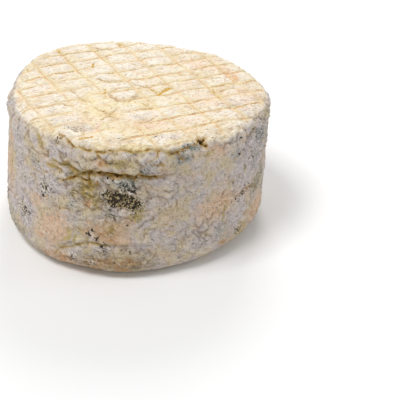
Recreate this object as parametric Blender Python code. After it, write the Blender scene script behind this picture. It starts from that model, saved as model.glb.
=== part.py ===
"""A whole wheel of natural-rind blue cheese, standing on its flat foot.

The wheel is one solid. A slightly lopsided drum with rounded shoulders carries the print of the
draining mat on its top and on its foot, folds and pits in its wall, and the slow unevenness of
a cheese that slumped a little while it ripened.

Every size below is in millimetres, every direction in degrees, counted from +X towards +Y.
"""
import math
import random

import bmesh
import bpy
from mathutils import Vector, noise
from mathutils.geometry import delaunay_2d_cdt

MM = 0.001

# Driving dimensions of the drum
RADIUS = 100.0
# Length of a degree along the wall
ARC = math.radians(1.0) * RADIUS
HEIGHT = 98.8
RIM_ROUNDING = 12.2
FOOT_ROUNDING = 14.4
FOOT_SPREAD = 0.008
# The foot stands this far off from the top, because the wheel leans
LEAN = (-3.7, -5.2)
# The outline is a circle with two soft waves: order, cosine part, sine part
OUTLINE_WAVES = ((2, -0.025, -0.005), (3, 0.029, 0.009))
# Short dents in the outline: direction, half width in degrees, depth
OUTLINE_DENTS = ((84, 3.0, 1.2), (67, 2.5, 1.0), (141, 3.5, 0.9), (-165, 4.0, 0.6), (20, 4.0, 0.7))

# The slow unevenness of the whole surface: size of the lumps, height
LUMPS = ((46.0, 1.3), (15.0, 0.5))
# It dies away below this height, so that the wheel stands flat
LEVEL_FOOT = 14.0

# The wall ends and the two round faces begin where the shoulder's normal tilts this much
RING_TILT = 60

# Print of the draining mat, two sets of threads nearly square to each other. Each has its
# direction, how many threads lie on each side of its middle one, that one's place, the pitch,
# the change of pitch from thread to thread, how far the threads bend at their left end and how
# far they wander.
TOP_PRINT = (
    {"direction": -65, "count": 3, "middle": -2.2, "pitch": 26.3, "drift": -0.25, "bend": 0, "wander": 1.2},
    {"direction": 25, "count": 5, "middle": -2, "pitch": 17.2, "drift": -0.27, "bend": 8e-4, "wander": 2.8},
)
FOOT_PRINT = (
    {"direction": -65, "count": 4, "middle": 12, "pitch": 26.3, "drift": 0, "bend": 0, "wander": 0},
    {"direction": 25, "count": 6, "middle": 4.9, "pitch": 17.2, "drift": 0, "bend": 0, "wander": 0},
)
WANDER_LENGTH = 30.0
THREAD_WIDTH = 3.4
TOP_PRINT_DEPTH = 1.1
FOOT_PRINT_DEPTH = 0.9
# Distance from the rim over which the print fades in
PRINT_FADE = (6.0, 10.0)
FOOT_PRINT_FADE = (14.4, 18.4)
# Where the paste swelled after the mat came off, the print is faint: centre, radii, what is left
FAINT_PRINT = ((-26, -52), (34, 46), 0.4)

# Cracks in the top skin: the points they run through, half width, depth
TOP_CRACKS = (
    (((8, 4), (13, -6), (15, -13)), 2.2, 1.5),
    (((23, 0), (19, -5), (15, -13)), 2.6, 2.0),
    (((64, 36), (70, 27), (76, 13)), 3.0, 1.6),
    (((-34, 41), (-36, 34)), 2.0, 1.2),
    (((-15, 88), (-15, 80)), 2.6, 2.0),
)

# Below the rim the skin sagged into a soft roll: ends as directions, height, half height, bulge
RIM_ROLL = ((-150, -132), (-78, -60), 89.0, 5.5, 1.2)

# Folds of the wall: points as direction and height, how far the skin rolls out, how deep it cuts
SHOWN_FOLDS = (
    (((-124, 84), (-113, 82.5), (-109, 80.5), (-105, 82), (-95, 81), (-84, 80), (-74, 82)), 1.3, 2.4),
    (((-118, 72), (-112, 76), (-107, 75), (-102, 76.5)), 0.5, 1.2),
    (((-121, 17), (-112, 25), (-106, 29.5), (-100, 28), (-88, 29), (-76, 26)), 0.9, 1.8),
    (((-134, 95), (-117, 94), (-105, 94.5), (-95, 95), (-83, 94), (-64, 93)), 0.4, 1.5),
)
# The wall that faces away has folds of the same kind: directions, how many, reach, heights
HIDDEN_SIDE = (-62, 205)
HIDDEN_FOLDS = 9
HIDDEN_REACH = (26, 46)
HIDDEN_HEIGHTS = (16, 88)
HIDDEN_LIP = (0.5, 1.0)
HIDDEN_CUT = (1.2, 2.0)
FOLD_SEED = 5
# A fold's section: it fades over so many degrees at its ends, and a lip stands above its cut
# and a shallow hollow below
FOLD_FADE = 9.0
CUT_WIDTH = 1.9
LIP_ABOVE = 2.6
LIP_WIDTH = 2.4
HOLLOW_BELOW = 6.0
HOLLOW_WIDTH = 4.5
HOLLOW_SHARE = 0.3
CUT_FOOT = 2.4
# The wall's relief fades in between these heights
RELIEF_FADE = (4.0, 10.0)

# Pits of the wall: direction, height, half width, depth
PITS = (
    (-117, 94, 2.6, 2.6),
    (-63, 92.5, 3.0, 2.8),
    (-96, 62, 3.6, 1.5),
    (-93, 73, 2.6, 1.4),
    (-105, 36, 2.4, 1.1),
    (-40, 79, 2.6, 1.5),
    (-5, 52, 3.2, 1.6),
    (38, 70, 3.0, 1.8),
    (82, 30, 3.4, 1.6),
    (118, 83, 2.8, 2.0),
    (161, 44, 3.2, 1.6),
)

# Fineness of the mesh, and how far its lines and loose points keep from a patch's edge
RING_STEPS = 116
LOOSE_STEP = 7.0
LINE_STEP = 5.5
PIT_CORNERS = 6
CLEARANCE = 1.9
POINT_SEED = 11
# Loose points stand on a staggered grid: its row pitch, how far they stray, how close to a
# line they may come, all as shares of the step
ROW_SHARE = 0.87
STRAY_SHARE = 0.2
NEAR_SHARE = 0.55
MERGE_DISTANCE = 0.02
SHARP_ANGLE = 40


def smoothstep(low, high, value):
    """0 below low, 1 above high, with a soft rise between."""
    share = min(max((value - low) / (high - low), 0.0), 1.0)
    return share * share * (3.0 - 2.0 * share)


def swell(offset, width):
    """A soft bump: 1 in the middle, nearly 0 at twice its width."""
    return math.exp(-((offset / width) ** 2))


def turned(first, second):
    """Angle from one direction to another, the short way round, in degrees."""
    return (first - second + 180.0) % 360.0 - 180.0


def outline_radius(direction, height):
    """Radius of the straight wall at a direction and a height."""
    waves = sum(
        cosine * math.cos(math.radians(order * direction)) + sine * math.sin(math.radians(order * direction))
        for order, cosine, sine in OUTLINE_WAVES
    )
    dents = sum(depth * swell(turned(direction, where), width) for where, width, depth in OUTLINE_DENTS)
    spread = FOOT_SPREAD * (1.0 - height / HEIGHT)
    return RADIUS * (1.0 + waves) * (1.0 + spread) - dents


def lean_at(height):
    """How far the wheel's axis has moved sideways at a height."""
    share = 1.0 - height / HEIGHT
    return LEAN[0] * share, LEAN[1] * share


def shoulder(height):
    """How far the wall is drawn in at a height, and the tilt of its normal above level."""
    if height > HEIGHT - RIM_ROUNDING:
        tilt = math.asin(min((height - HEIGHT + RIM_ROUNDING) / RIM_ROUNDING, 1.0))
        return RIM_ROUNDING * (1.0 - math.cos(tilt)), tilt
    if height < FOOT_ROUNDING:
        tilt = -math.asin(min((FOOT_ROUNDING - height) / FOOT_ROUNDING, 1.0))
        return FOOT_ROUNDING * (1.0 - math.cos(tilt)), tilt
    return 0.0, 0.0


def lumps(point):
    """The slow unevenness, which dies away towards the foot, so that the wheel stands flat."""
    height = sum(size * noise.noise(point / length) for length, size in LUMPS)
    return height * smoothstep(0.0, LEVEL_FOOT, point.z)


def path_height(points, direction):
    """Height of a fold at a direction, by soft steps between its points."""
    for (start, low), (end, high) in zip(points, points[1:]):
        if direction <= end:
            return low + (high - low) * smoothstep(start, end, direction)
    return points[-1][1]


def hidden_folds():
    """Folds for the wall that faces away, spread evenly round it."""
    draw = random.Random(FOLD_SEED)
    start, end = HIDDEN_SIDE
    low, high = HIDDEN_HEIGHTS
    pitch = (end - start) / HIDDEN_FOLDS
    folds = []
    for number in range(HIDDEN_FOLDS):
        reach = draw.uniform(*HIDDEN_REACH)
        first = start + pitch * number + draw.uniform(0, 8)
        # Heights alternate between the upper and the lower half of the wall
        middle = low + (high - low) * (0.25 + 0.5 * (number % 2) + draw.uniform(-0.2, 0.2))
        points = tuple((first + reach * share, middle + draw.uniform(-4, 4)) for share in (0, 0.3, 0.6, 1))
        folds.append((points, draw.uniform(*HIDDEN_LIP), draw.uniform(*HIDDEN_CUT)))
    return tuple(folds)


FOLDS = SHOWN_FOLDS + hidden_folds()


def fold_relief(direction, height):
    """How far all the folds together move the wall out or in."""
    moved = 0.0
    for points, lip, cut in FOLDS:
        middle = (points[0][0] + points[-1][0]) / 2.0
        along = middle + turned(direction, middle)
        ends = smoothstep(points[0][0], points[0][0] + FOLD_FADE, along)
        ends *= 1.0 - smoothstep(points[-1][0] - FOLD_FADE, points[-1][0], along)
        if ends == 0.0:
            continue
        above = height - path_height(points, along)
        moved += ends * lip * swell(above - LIP_ABOVE, LIP_WIDTH)
        moved -= ends * cut * swell(above, CUT_WIDTH)
        moved -= ends * cut * HOLLOW_SHARE * swell(above + HOLLOW_BELOW, HOLLOW_WIDTH)
    return moved


def roll_relief(direction, height):
    """The soft roll of skin below the rim, on the side where it sagged."""
    start, end, middle, half_height, bulge = RIM_ROLL
    along = smoothstep(*start, direction) * (1.0 - smoothstep(*end, direction))
    return bulge * along * swell(height - middle, half_height)


def pit_relief(direction, height):
    """How far the pits draw the wall in."""
    moved = 0.0
    for where, level, width, depth in PITS:
        across = turned(direction, where) * ARC
        moved -= depth * swell(math.hypot(across, height - level), width)
    return moved


def wall_point(direction, height):
    """A point of the wall with its relief."""
    inset, tilt = shoulder(height)
    angle = math.radians(direction)
    radius = outline_radius(direction, height) - inset
    lean_x, lean_y = lean_at(height)
    base = Vector((lean_x + radius * math.cos(angle), lean_y + radius * math.sin(angle), height))
    level = math.cos(tilt)
    outward = Vector((level * math.cos(angle), level * math.sin(angle), math.sin(tilt)))
    relief = fold_relief(direction, height) + roll_relief(direction, height) + pit_relief(direction, height)
    return base + outward * (relief * smoothstep(*RELIEF_FADE, height) + lumps(base))


def thread_place(threads, number, along, aside=0.0):
    """A point on one of the mat's threads at a distance along it, or a little aside from it."""
    across = threads["middle"] + threads["pitch"] * number + threads["drift"] * number * number + aside
    across -= threads["bend"] * min(along, 0.0) ** 2
    across += threads["wander"] * noise.noise(Vector((along / WANDER_LENGTH, number * 3.7, threads["pitch"])))
    angle = math.radians(threads["direction"])
    return (
        along * math.cos(angle) - across * math.sin(angle),
        along * math.sin(angle) + across * math.cos(angle),
    )


def print_strength(x, y):
    """How deep the mat's print is at a place on the top, from 0 to 1."""
    (centre_x, centre_y), (radius_x, radius_y), left = FAINT_PRINT
    away = math.hypot((x - centre_x) / radius_x, (y - centre_y) / radius_y)
    uneven = 0.85 + 0.5 * noise.noise(Vector((x / 24.0, y / 24.0, 5.0)))
    return uneven * (left + (1.0 - left) * smoothstep(0.5, 1.1, away))


def distance_to_run(x, y, run):
    """Distance from a place to an open line of points."""
    nearest = math.inf
    for (x0, y0), (x1, y1) in zip(run, run[1:]):
        span = (x1 - x0) ** 2 + (y1 - y0) ** 2
        share = min(max(((x - x0) * (x1 - x0) + (y - y0) * (y1 - y0)) / span, 0.0), 1.0)
        nearest = min(nearest, math.hypot(x - x0 - share * (x1 - x0), y - y0 - share * (y1 - y0)))
    return nearest


def rim_inset(x, y, height):
    """Distance from a place on a round face to the straight wall outside it."""
    return outline_radius(math.degrees(math.atan2(y, x)), height) - math.hypot(x, y)


def top_height(x, y, groove):
    """Height of the top skin. groove is 1 on the middle line of a thread's print, 0 beside it."""
    inset = rim_inset(x, y, HEIGHT)
    within = max(RIM_ROUNDING - inset, 0.0)
    height = HEIGHT - RIM_ROUNDING + math.sqrt(RIM_ROUNDING**2 - within**2)
    height -= groove * smoothstep(*PRINT_FADE, inset) * TOP_PRINT_DEPTH * print_strength(x, y)
    for run, width, depth in TOP_CRACKS:
        height -= depth * swell(distance_to_run(x, y, run), width)
    return height + lumps(Vector((x, y, HEIGHT)))


def foot_height(x, y, groove):
    """Height of the foot: flat, but for the mat's print and the rounding at its edge."""
    inset = rim_inset(x - LEAN[0], y - LEAN[1], 0.0)
    within = max(FOOT_ROUNDING - inset, 0.0)
    height = FOOT_ROUNDING - math.sqrt(FOOT_ROUNDING**2 - within**2)
    return height + groove * smoothstep(*FOOT_PRINT_FADE, inset) * FOOT_PRINT_DEPTH


def ring_directions():
    """Directions of the corners on the rings where the wall meets the round faces."""
    return [360.0 * step / RING_STEPS - 180.0 for step in range(RING_STEPS)]


def inside(place, outline):
    """Whether a place lies inside a closed outline."""
    x, y = place
    crossed = False
    for (x0, y0), (x1, y1) in zip(outline, outline[1:] + outline[:1]):
        if (y0 > y) != (y1 > y) and x < x0 + (y - y0) * (x1 - x0) / (y1 - y0):
            crossed = not crossed
    return crossed


def print_lines(mat_print, outline):
    """The mat's lines inside an outline: each a list of places, and whether it is a middle line."""
    lines = []
    for threads in mat_print:
        for number in range(-threads["count"], threads["count"] + 1):
            for aside in (-THREAD_WIDTH / 2.0, 0.0, THREAD_WIDTH / 2.0):
                for run in clipped_line(threads, number, aside, outline):
                    lines.append((run, aside == 0.0))
    return lines


def clipped_line(threads, number, aside, outline):
    """The stretches of one line of the print that lie inside an outline."""
    steps = int(2.0 * RADIUS / LINE_STEP)
    runs = [[]]
    for step in range(steps + 1):
        place = thread_place(threads, number, RADIUS * (2.0 * step / steps - 1.0), aside)
        if inside(place, outline):
            runs[-1].append(place)
        elif runs[-1]:
            runs.append([])
    runs = [run for run in runs if len(run) > 1]
    # A straight line needs only its ends
    is_straight = threads["wander"] == 0
    return [[run[0], run[-1]] for run in runs] if is_straight else runs


def triangulated(outline, runs, loose):
    """Corners and triangles that fill an outline. Its runs stay whole as edges."""
    places = [Vector(place) for place in outline]
    edges = []
    for run in runs:
        first = len(places)
        places += [Vector(place) for place in run]
        edges += [(index, index + 1) for index in range(first, first + len(run) - 1)]
    places += [Vector(place) for place in loose]
    border = list(range(len(outline)))
    # 1 asks for the triangles inside the border
    corners, _, faces, _, _, _ = delaunay_2d_cdt(places, edges, [border], 1, 1e-5)
    return corners, faces


def loose_points(low, high, keep_off):
    """Points on a staggered grid between two corners, each moved a little, clear of given places."""
    draw = random.Random(POINT_SEED)
    cells = {}
    for x, y in keep_off:
        cells.setdefault((int(x // LOOSE_STEP), int(y // LOOSE_STEP)), []).append((x, y))
    rows = int((high[1] - low[1]) / (LOOSE_STEP * ROW_SHARE))
    columns = int((high[0] - low[0]) / LOOSE_STEP)
    points = []
    for row in range(1, rows):
        for column in range(columns + 1):
            stray_x, stray_y = (LOOSE_STEP * draw.uniform(-STRAY_SHARE, STRAY_SHARE) for _ in range(2))
            x = low[0] + LOOSE_STEP * (column + 0.5 * (row % 2)) + stray_x
            y = low[1] + (high[1] - low[1]) * row / rows + stray_y
            cell_x, cell_y = int(x // LOOSE_STEP), int(y // LOOSE_STEP)
            near = [
                place
                for next_x in (cell_x - 1, cell_x, cell_x + 1)
                for next_y in (cell_y - 1, cell_y, cell_y + 1)
                for place in cells.get((next_x, next_y), ())
            ]
            if all(math.hypot(x - a, y - b) > LOOSE_STEP * NEAR_SHARE for a, b in near):
                points.append((x, y))
    return points


def shrunk(outline, centre, distance):
    """An outline moved towards a centre by a distance."""
    smaller = []
    for x, y in outline:
        share = 1.0 - distance / math.hypot(x - centre[0], y - centre[1])
        smaller.append((centre[0] + (x - centre[0]) * share, centre[1] + (y - centre[1]) * share))
    return smaller


def round_face(ring_points, centre, mat_print, height_of, is_flat):
    """Corners and triangles of the top or the foot with its print, up to the ring of the wall."""
    outline = [(point.x, point.y) for point in ring_points]
    field = shrunk(outline, centre, CLEARANCE)
    lines = print_lines(mat_print, field)
    runs = [run for run, _ in lines]
    loose = []
    if not is_flat:
        keep_off = outline + [place for run in runs for place in run]
        reach = RADIUS + RIM_ROUNDING
        grid = loose_points((-reach, -reach), (reach, reach), keep_off)
        loose = [place for place in grid if inside(place, field)]
    corners, faces = triangulated(outline, runs, loose)
    middle_lines = [run for run, is_middle in lines if is_middle]
    points = list(ring_points)
    for x, y in corners[len(outline):]:
        away = min(distance_to_run(x, y, run) for run in middle_lines)
        groove = max(1.0 - away / (THREAD_WIDTH / 2.0), 0.0)
        points.append(Vector((x, y, height_of(x, y, groove))))
    return points, faces


def wall_runs(low, high, reach):
    """Lines on the unrolled wall: each fold's lip, its cut and the cut's foot, and the roll's crest."""
    (first, _), (_, last), middle, _, _ = RIM_ROLL
    lines = [(((first, middle), (last, middle)), 0.0)]
    lines += [(points, offset) for points, _, _ in FOLDS for offset in (LIP_ABOVE, 0.0, -CUT_FOOT)]
    runs = []
    for points, offset in lines:
        first, last = points[0][0], points[-1][0]
        steps = int((last - first) * ARC / LINE_STEP)
        run = []
        for step in range(steps + 1):
            direction = first + (last - first) * step / steps
            x, height = turned(direction, 0.0) * ARC, path_height(points, direction) + offset
            is_clear = abs(x) < reach - CLEARANCE and low + CLEARANCE < height < high - CLEARANCE / 2.0
            if run and (not is_clear or abs(x - run[-1][0]) > reach):
                runs.append(run)
                run = []
            if is_clear:
                run.append((x, height))
        runs.append(run)
    return [run for run in runs if len(run) > 1]


def pit_corners(high):
    """A corner in the middle of each pit and a few round its edge, on the unrolled wall."""
    places = []
    for direction, height, width, _ in PITS:
        places.append((direction * ARC, height))
        for corner in range(PIT_CORNERS):
            angle = math.tau * corner / PIT_CORNERS
            places.append((direction * ARC + width * math.cos(angle), height + width * math.sin(angle)))
    return [place for place in places if place[1] < high - CLEARANCE]


def wall(low, high):
    """Corners and triangles of the wall between two heights, unrolled and then rolled up again."""
    reach = 180.0 * ARC
    directions = ring_directions() + [180.0]
    seam_steps = int((high - low) / LOOSE_STEP)
    seam = [low + (high - low) * step / seam_steps for step in range(1, seam_steps)]
    outline = [(direction * ARC, low) for direction in directions]
    outline += [(reach, height) for height in seam]
    outline += [(direction * ARC, high) for direction in reversed(directions)]
    outline += [(-reach, height) for height in reversed(seam)]
    runs = wall_runs(low, high, reach)
    pits = pit_corners(high)
    keep_off = outline + [place for run in runs for place in run] + pits
    grid = loose_points((-reach, low), (reach, high), keep_off)
    loose = pits + [place for place in grid if abs(place[0]) < reach - CLEARANCE]
    corners, faces = triangulated(outline, runs, loose)
    return [wall_point(x / ARC, height) for x, height in corners], faces


def wheel_mesh():
    """The closed surface of the wheel, as one mesh in metres with its origin under its middle."""
    tilt = math.sin(math.radians(RING_TILT))
    high = HEIGHT - RIM_ROUNDING * (1.0 - tilt)
    low = FOOT_ROUNDING * (1.0 - tilt)
    top_ring = [wall_point(direction, high) for direction in ring_directions()]
    foot_ring = [wall_point(direction, low) for direction in ring_directions()]
    top = round_face(top_ring, (0.0, 0.0), TOP_PRINT, top_height, False)
    foot = round_face(foot_ring, LEAN, FOOT_PRINT, foot_height, True)
    shape = bmesh.new()
    for (points, faces), faces_down in ((top, False), (wall(low, high), False), (foot, True)):
        corners = [shape.verts.new(point) for point in points]
        for face in faces:
            order = reversed(face) if faces_down else face
            shape.faces.new([corners[index] for index in order])
    bmesh.ops.remove_doubles(shape, verts=shape.verts, dist=MERGE_DISTANCE)
    centre_under(shape)
    mesh = bpy.data.meshes.new("cheese_wheel")
    shape.to_mesh(mesh)
    shape.free()
    mesh.shade_smooth()
    mesh.set_sharp_from_angle(angle=math.radians(SHARP_ANGLE))
    return mesh


def centre_under(shape):
    """Move the shape's origin to the middle of its box's bottom, and turn millimetres to metres."""
    sides = [[corner.co[axis] for corner in shape.verts] for axis in range(3)]
    middle_x, middle_y = [(min(side) + max(side)) / 2.0 for side in sides[:2]]
    origin = Vector((middle_x, middle_y, min(sides[2])))
    print("origin in the drum's own millimetres:", [round(value, 2) for value in origin])
    for corner in shape.verts:
        corner.co = (corner.co - origin) * MM


def rind_material():
    """Dry natural rind, cream to grey-brown."""
    material = bpy.data.materials.new("rind")
    material.use_nodes = True
    shader = material.node_tree.nodes["Principled BSDF"]
    shader.inputs["Base Color"].default_value = (0.68, 0.56, 0.41, 1.0)
    shader.inputs["Roughness"].default_value = 0.75
    shader.inputs["Metallic"].default_value = 0.0
    return material


def main():
    for item in list(bpy.data.objects):
        bpy.data.objects.remove(item)
    mesh = wheel_mesh()
    mesh.materials.append(rind_material())
    wheel = bpy.data.objects.new("cheese_wheel", mesh)
    bpy.context.scene.collection.objects.link(wheel)
    print("triangles:", len(mesh.polygons))


main()
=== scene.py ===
# %% [markdown]
# # A whole wheel of blue cheese
#
# The wheel is a natural-rind blue cheese, about 20 cm across and 10 cm high. It was salted,
# turned by hand on a draining mat and left to ripen in a damp cellar, so its faces carry the
# mat's print in cream and peach, and its wall is a wrinkled, mouldy crust in grey, tan and olive.
#
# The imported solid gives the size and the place. This file gives the same wheel its fine skin.
# All shape values are in millimetres and all directions in degrees from +X towards +Y, as a
# maker would note them down. They become metres once, when the mesh is written.

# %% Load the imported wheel
import math
import random

import bmesh
import bpy
import numpy as np
from mathutils import Matrix, Vector, noise


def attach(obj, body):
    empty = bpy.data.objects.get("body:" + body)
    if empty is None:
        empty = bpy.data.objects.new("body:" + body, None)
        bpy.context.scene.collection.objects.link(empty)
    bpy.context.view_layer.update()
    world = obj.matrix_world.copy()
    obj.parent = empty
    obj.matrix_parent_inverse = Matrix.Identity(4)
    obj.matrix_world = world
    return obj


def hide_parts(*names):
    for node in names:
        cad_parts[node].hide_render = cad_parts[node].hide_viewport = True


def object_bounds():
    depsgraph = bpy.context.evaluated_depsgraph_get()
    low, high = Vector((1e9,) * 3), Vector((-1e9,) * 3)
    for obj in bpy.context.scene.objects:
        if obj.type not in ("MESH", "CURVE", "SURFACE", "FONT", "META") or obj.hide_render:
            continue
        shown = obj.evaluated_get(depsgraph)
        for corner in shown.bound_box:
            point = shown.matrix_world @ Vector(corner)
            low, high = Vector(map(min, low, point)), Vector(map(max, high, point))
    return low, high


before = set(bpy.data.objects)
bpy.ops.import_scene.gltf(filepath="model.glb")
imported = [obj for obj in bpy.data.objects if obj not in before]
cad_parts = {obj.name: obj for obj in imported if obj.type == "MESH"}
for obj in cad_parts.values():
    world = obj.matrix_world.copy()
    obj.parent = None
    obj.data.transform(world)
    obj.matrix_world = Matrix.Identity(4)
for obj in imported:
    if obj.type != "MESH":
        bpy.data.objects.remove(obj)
cad_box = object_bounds()
MM = 0.001
print("CAD box in mm:", [[round(value / MM, 1) for value in corner] for corner in cad_box])

# %% [markdown]
# ## The drum
#
# Under its skin the wheel is a drum with rounded shoulders. It isn't quite round: its outline
# has two soft waves and a few dents, and it leans, because fresh curd slumps in its mould. A
# turned profile would be too regular, so the outline is a formula that changes with direction.

# %% Size and outline of the drum
RADIUS = 100.0
# How long one degree is on the wall
ARC = math.radians(1.0) * RADIUS
HEIGHT = 98.8
RIM_ROUNDING = 12.2
FOOT_ROUNDING = 14.4
FOOT_SPREAD = 0.008
LEAN = (-3.7, -5.2)
# Waves of the outline: how many round the wheel, cosine part, sine part
OUTLINE_WAVES = ((2, -0.025, -0.005), (3, 0.029, 0.009))
# Dents of the outline, negative where it swells: direction, width, depth
OUTLINE_DENTS = (
    (84, 3, 1.2), (67, 2.5, 1), (141, 6, -0.9), (50, 9, -1.6), (-165, 4, 0.6), (20, 4, 0.7),
)


def smoothstep(low, high, value):
    """0 below low, 1 above high, with a soft rise between."""
    share = np.clip((value - low) / (high - low), 0.0, 1.0)
    return share * share * (3.0 - 2.0 * share)


def swell(offset, width=1.0):
    """A soft bump: 1 in the middle, nearly 0 at twice its width."""
    return np.exp(-((offset / width) ** 2))


def turned(first, second):
    """Angle from one direction to another, the short way round."""
    return (first - second + 180.0) % 360.0 - 180.0


def outline_radius(direction, height):
    """Radius of the straight wall at a direction and a height."""
    waves = 0.0
    for order, cosine, sine in OUTLINE_WAVES:
        phase = np.radians(order * direction)
        waves = waves + cosine * np.cos(phase) + sine * np.sin(phase)
    dents = sum(depth * swell(turned(direction, where), width) for where, width, depth in OUTLINE_DENTS)
    return RADIUS * (1.0 + waves) * (1.0 + FOOT_SPREAD * (1.0 - height / HEIGHT)) - dents


# %% [markdown]
# ## An even net of faces
#
# The skin has wrinkles about as fine as a millimetre, so the mesh needs faces of about that
# size all over, and as square as they can be. An open cylinder gives the wall, and its upright
# edges are cut into rings. Grid Fill then closes both ends with a square net instead of a fan,
# so no faces crowd together in the middle. The cylinder is turned first, so that the net's rows
# run along the threads of the mat and a thread's print can follow a row.

# %% Cylinder, rings and Grid Fill
COLUMNS = 560
RINGS = 101
FOOT_ARC = FOOT_ROUNDING * math.pi / 2
RIM_ARC = RIM_ROUNDING * math.pi / 2
# From the flat of the foot up the wall to the flat of the top
PROFILE = FOOT_ARC + HEIGHT - RIM_ROUNDING - FOOT_ROUNDING + RIM_ARC
FLAT_RADIUS = RADIUS - RIM_ROUNDING
PRINT_DIRECTION = 25
NET_TURN = math.radians(PRINT_DIRECTION + 45.0)
SAME_LEVEL = 0.1

bpy.ops.object.select_all(action="DESELECT")
bpy.ops.mesh.primitive_cylinder_add(
    vertices=COLUMNS,
    radius=FLAT_RADIUS,
    depth=PROFILE,
    end_fill_type="NOTHING",
    location=(0.0, 0.0, PROFILE / 2.0),
    rotation=(0.0, 0.0, NET_TURN),
)
wheel = bpy.context.object
wheel.name = "cheese_rind"
wheel.data.name = "cheese_rind"
bpy.ops.object.transform_apply(location=True, rotation=True, scale=True)
bpy.ops.object.mode_set(mode="EDIT")
bpy.ops.mesh.select_mode(type="EDGE")


def select_edges(is_wanted):
    """Select the edges that pass a test of their two corners' heights."""
    bpy.ops.mesh.select_all(action="DESELECT")
    shape = bmesh.from_edit_mesh(wheel.data)
    for edge in shape.edges:
        edge.select_set(is_wanted(*(corner.co.z for corner in edge.verts)))


select_edges(lambda first, second: abs(first - second) > SAME_LEVEL)
bpy.ops.mesh.subdivide(number_cuts=RINGS - 1)
for end in (0.0, PROFILE):
    select_edges(lambda first, second: max(abs(first - end), abs(second - end)) < SAME_LEVEL)
    bpy.ops.mesh.fill_grid(span=COLUMNS // 4)
bpy.ops.mesh.select_all(action="SELECT")
bpy.ops.mesh.normals_make_consistent(inside=False)
bpy.ops.object.mode_set(mode="OBJECT")
print("net of", len(wheel.data.polygons), "faces")

# %% [markdown]
# ## From the net to the drum
#
# Each corner of the net is now moved to its place on the drum. A corner of the wall knows how
# far up the profile it lies, which gives its height, how far the shoulder draws it in and the
# tilt of the skin there. A corner of a round face keeps its share of the radius.

# %% Places, directions and tilts
# Where the foot was pressed in: direction, width, depth, the height where it ends
FOOT_SAG = (-109, 9.0, 2.6, 16.0)
SEAM = 0.01

net = np.empty(len(wheel.data.vertices) * 3)
wheel.data.vertices.foreach_get("co", net)
net = net.reshape(-1, 3)
direction = np.degrees(np.arctan2(net[:, 1], net[:, 0]))
share = np.minimum(np.hypot(net[:, 0], net[:, 1]) / FLAT_RADIUS, 1.0)
climbed = net[:, 2]
rim_start = PROFILE - RIM_ARC
tilt = np.where(climbed < FOOT_ARC, climbed / FOOT_ROUNDING - math.pi / 2, 0.0)
tilt = np.where(climbed > rim_start, (climbed - rim_start) / RIM_ROUNDING, tilt)
height = FOOT_ROUNDING + climbed - FOOT_ARC
height = np.where(climbed < FOOT_ARC, FOOT_ROUNDING * (1.0 + np.sin(tilt)), height)
height = np.where(climbed > rim_start, HEIGHT - RIM_ROUNDING * (1.0 - np.sin(tilt)), height)
inset = np.where(climbed < PROFILE / 2.0, FOOT_ROUNDING, RIM_ROUNDING) * (1.0 - np.cos(tilt))
where, width, depth, sag_end = FOOT_SAG
inset += depth * swell(turned(direction, where), width) * (1.0 - smoothstep(0.0, sag_end, height))
radius = share * (outline_radius(direction, height) - inset)
lean = 1.0 - height / HEIGHT
turn_x, turn_y = np.cos(np.radians(direction)), np.sin(np.radians(direction))
base = np.stack([radius * turn_x + LEAN[0] * lean, radius * turn_y + LEAN[1] * lean, height], axis=1)
outward = np.stack([np.cos(tilt) * turn_x, np.cos(tilt) * turn_y, np.sin(tilt)], axis=1)

is_top = climbed > PROFILE - SEAM
is_foot = climbed < SEAM
on_wall = ~(is_top | is_foot)
off_floor = height > 1.0
in_upper_half = height > HEIGHT / 2
near_top = height > HEIGHT - RIM_ROUNDING
print("corners on the top:", int(is_top.sum()), "on the foot:", int(is_foot.sum()))


def grain(places, lengths, shift=0.0):
    """Smooth noise, from about -1 to 1, in lumps of the given lengths in millimetres."""
    scaled = places / np.array(lengths) + shift
    return 2.0 * np.array([noise.noise(Vector(place)) for place in scaled])


# %% [markdown]
# ## The print of the draining mat
#
# Fresh curd drains on a mat of plastic net, whose threads press a grid into the face: fine
# straight threads about 26 mm apart one way, and heavier ones about 17 mm apart the other.
# Each corner of the top gets a thread number for both sets: 2.0 is the middle of thread two,
# 2.5 is half way to thread three. The number changes smoothly, so the material can later draw a
# crisp line where it's whole, finer than the mesh.

# %% Threads and thread numbers
STEEP = {"direction": PRINT_DIRECTION - 90, "pitch": 26.3}
FLAT = {"direction": PRINT_DIRECTION, "pitch": 17.2}
# The threads of the top aren't straight and even: they draw closer, bend and wander
TOP_PRINT = (
    {**STEEP, "count": 3, "middle": -2.2, "drift": -0.25, "bend": 0, "wander": 1.2},
    {**FLAT, "count": 5, "middle": -2, "drift": -0.27, "bend": 8e-4, "wander": 2.8},
)
FOOT_PRINT = ({**STEEP, "count": 4, "middle": 12}, {**FLAT, "count": 6, "middle": 4.9})
# A thread's bends are this far apart. Its wiggles are weaker and closer together.
WANDER_LENGTH = 30.0
WIGGLE_SHARE = 0.5
WIGGLE_CLOSER = 3.2
THREAD_SHIFT = 3.7


def thread_axes(threads, x, y):
    """How far along and across a set of threads a place lies."""
    turn = math.radians(threads["direction"])
    return x * math.cos(turn) + y * math.sin(turn), y * math.cos(turn) - x * math.sin(turn)


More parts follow.
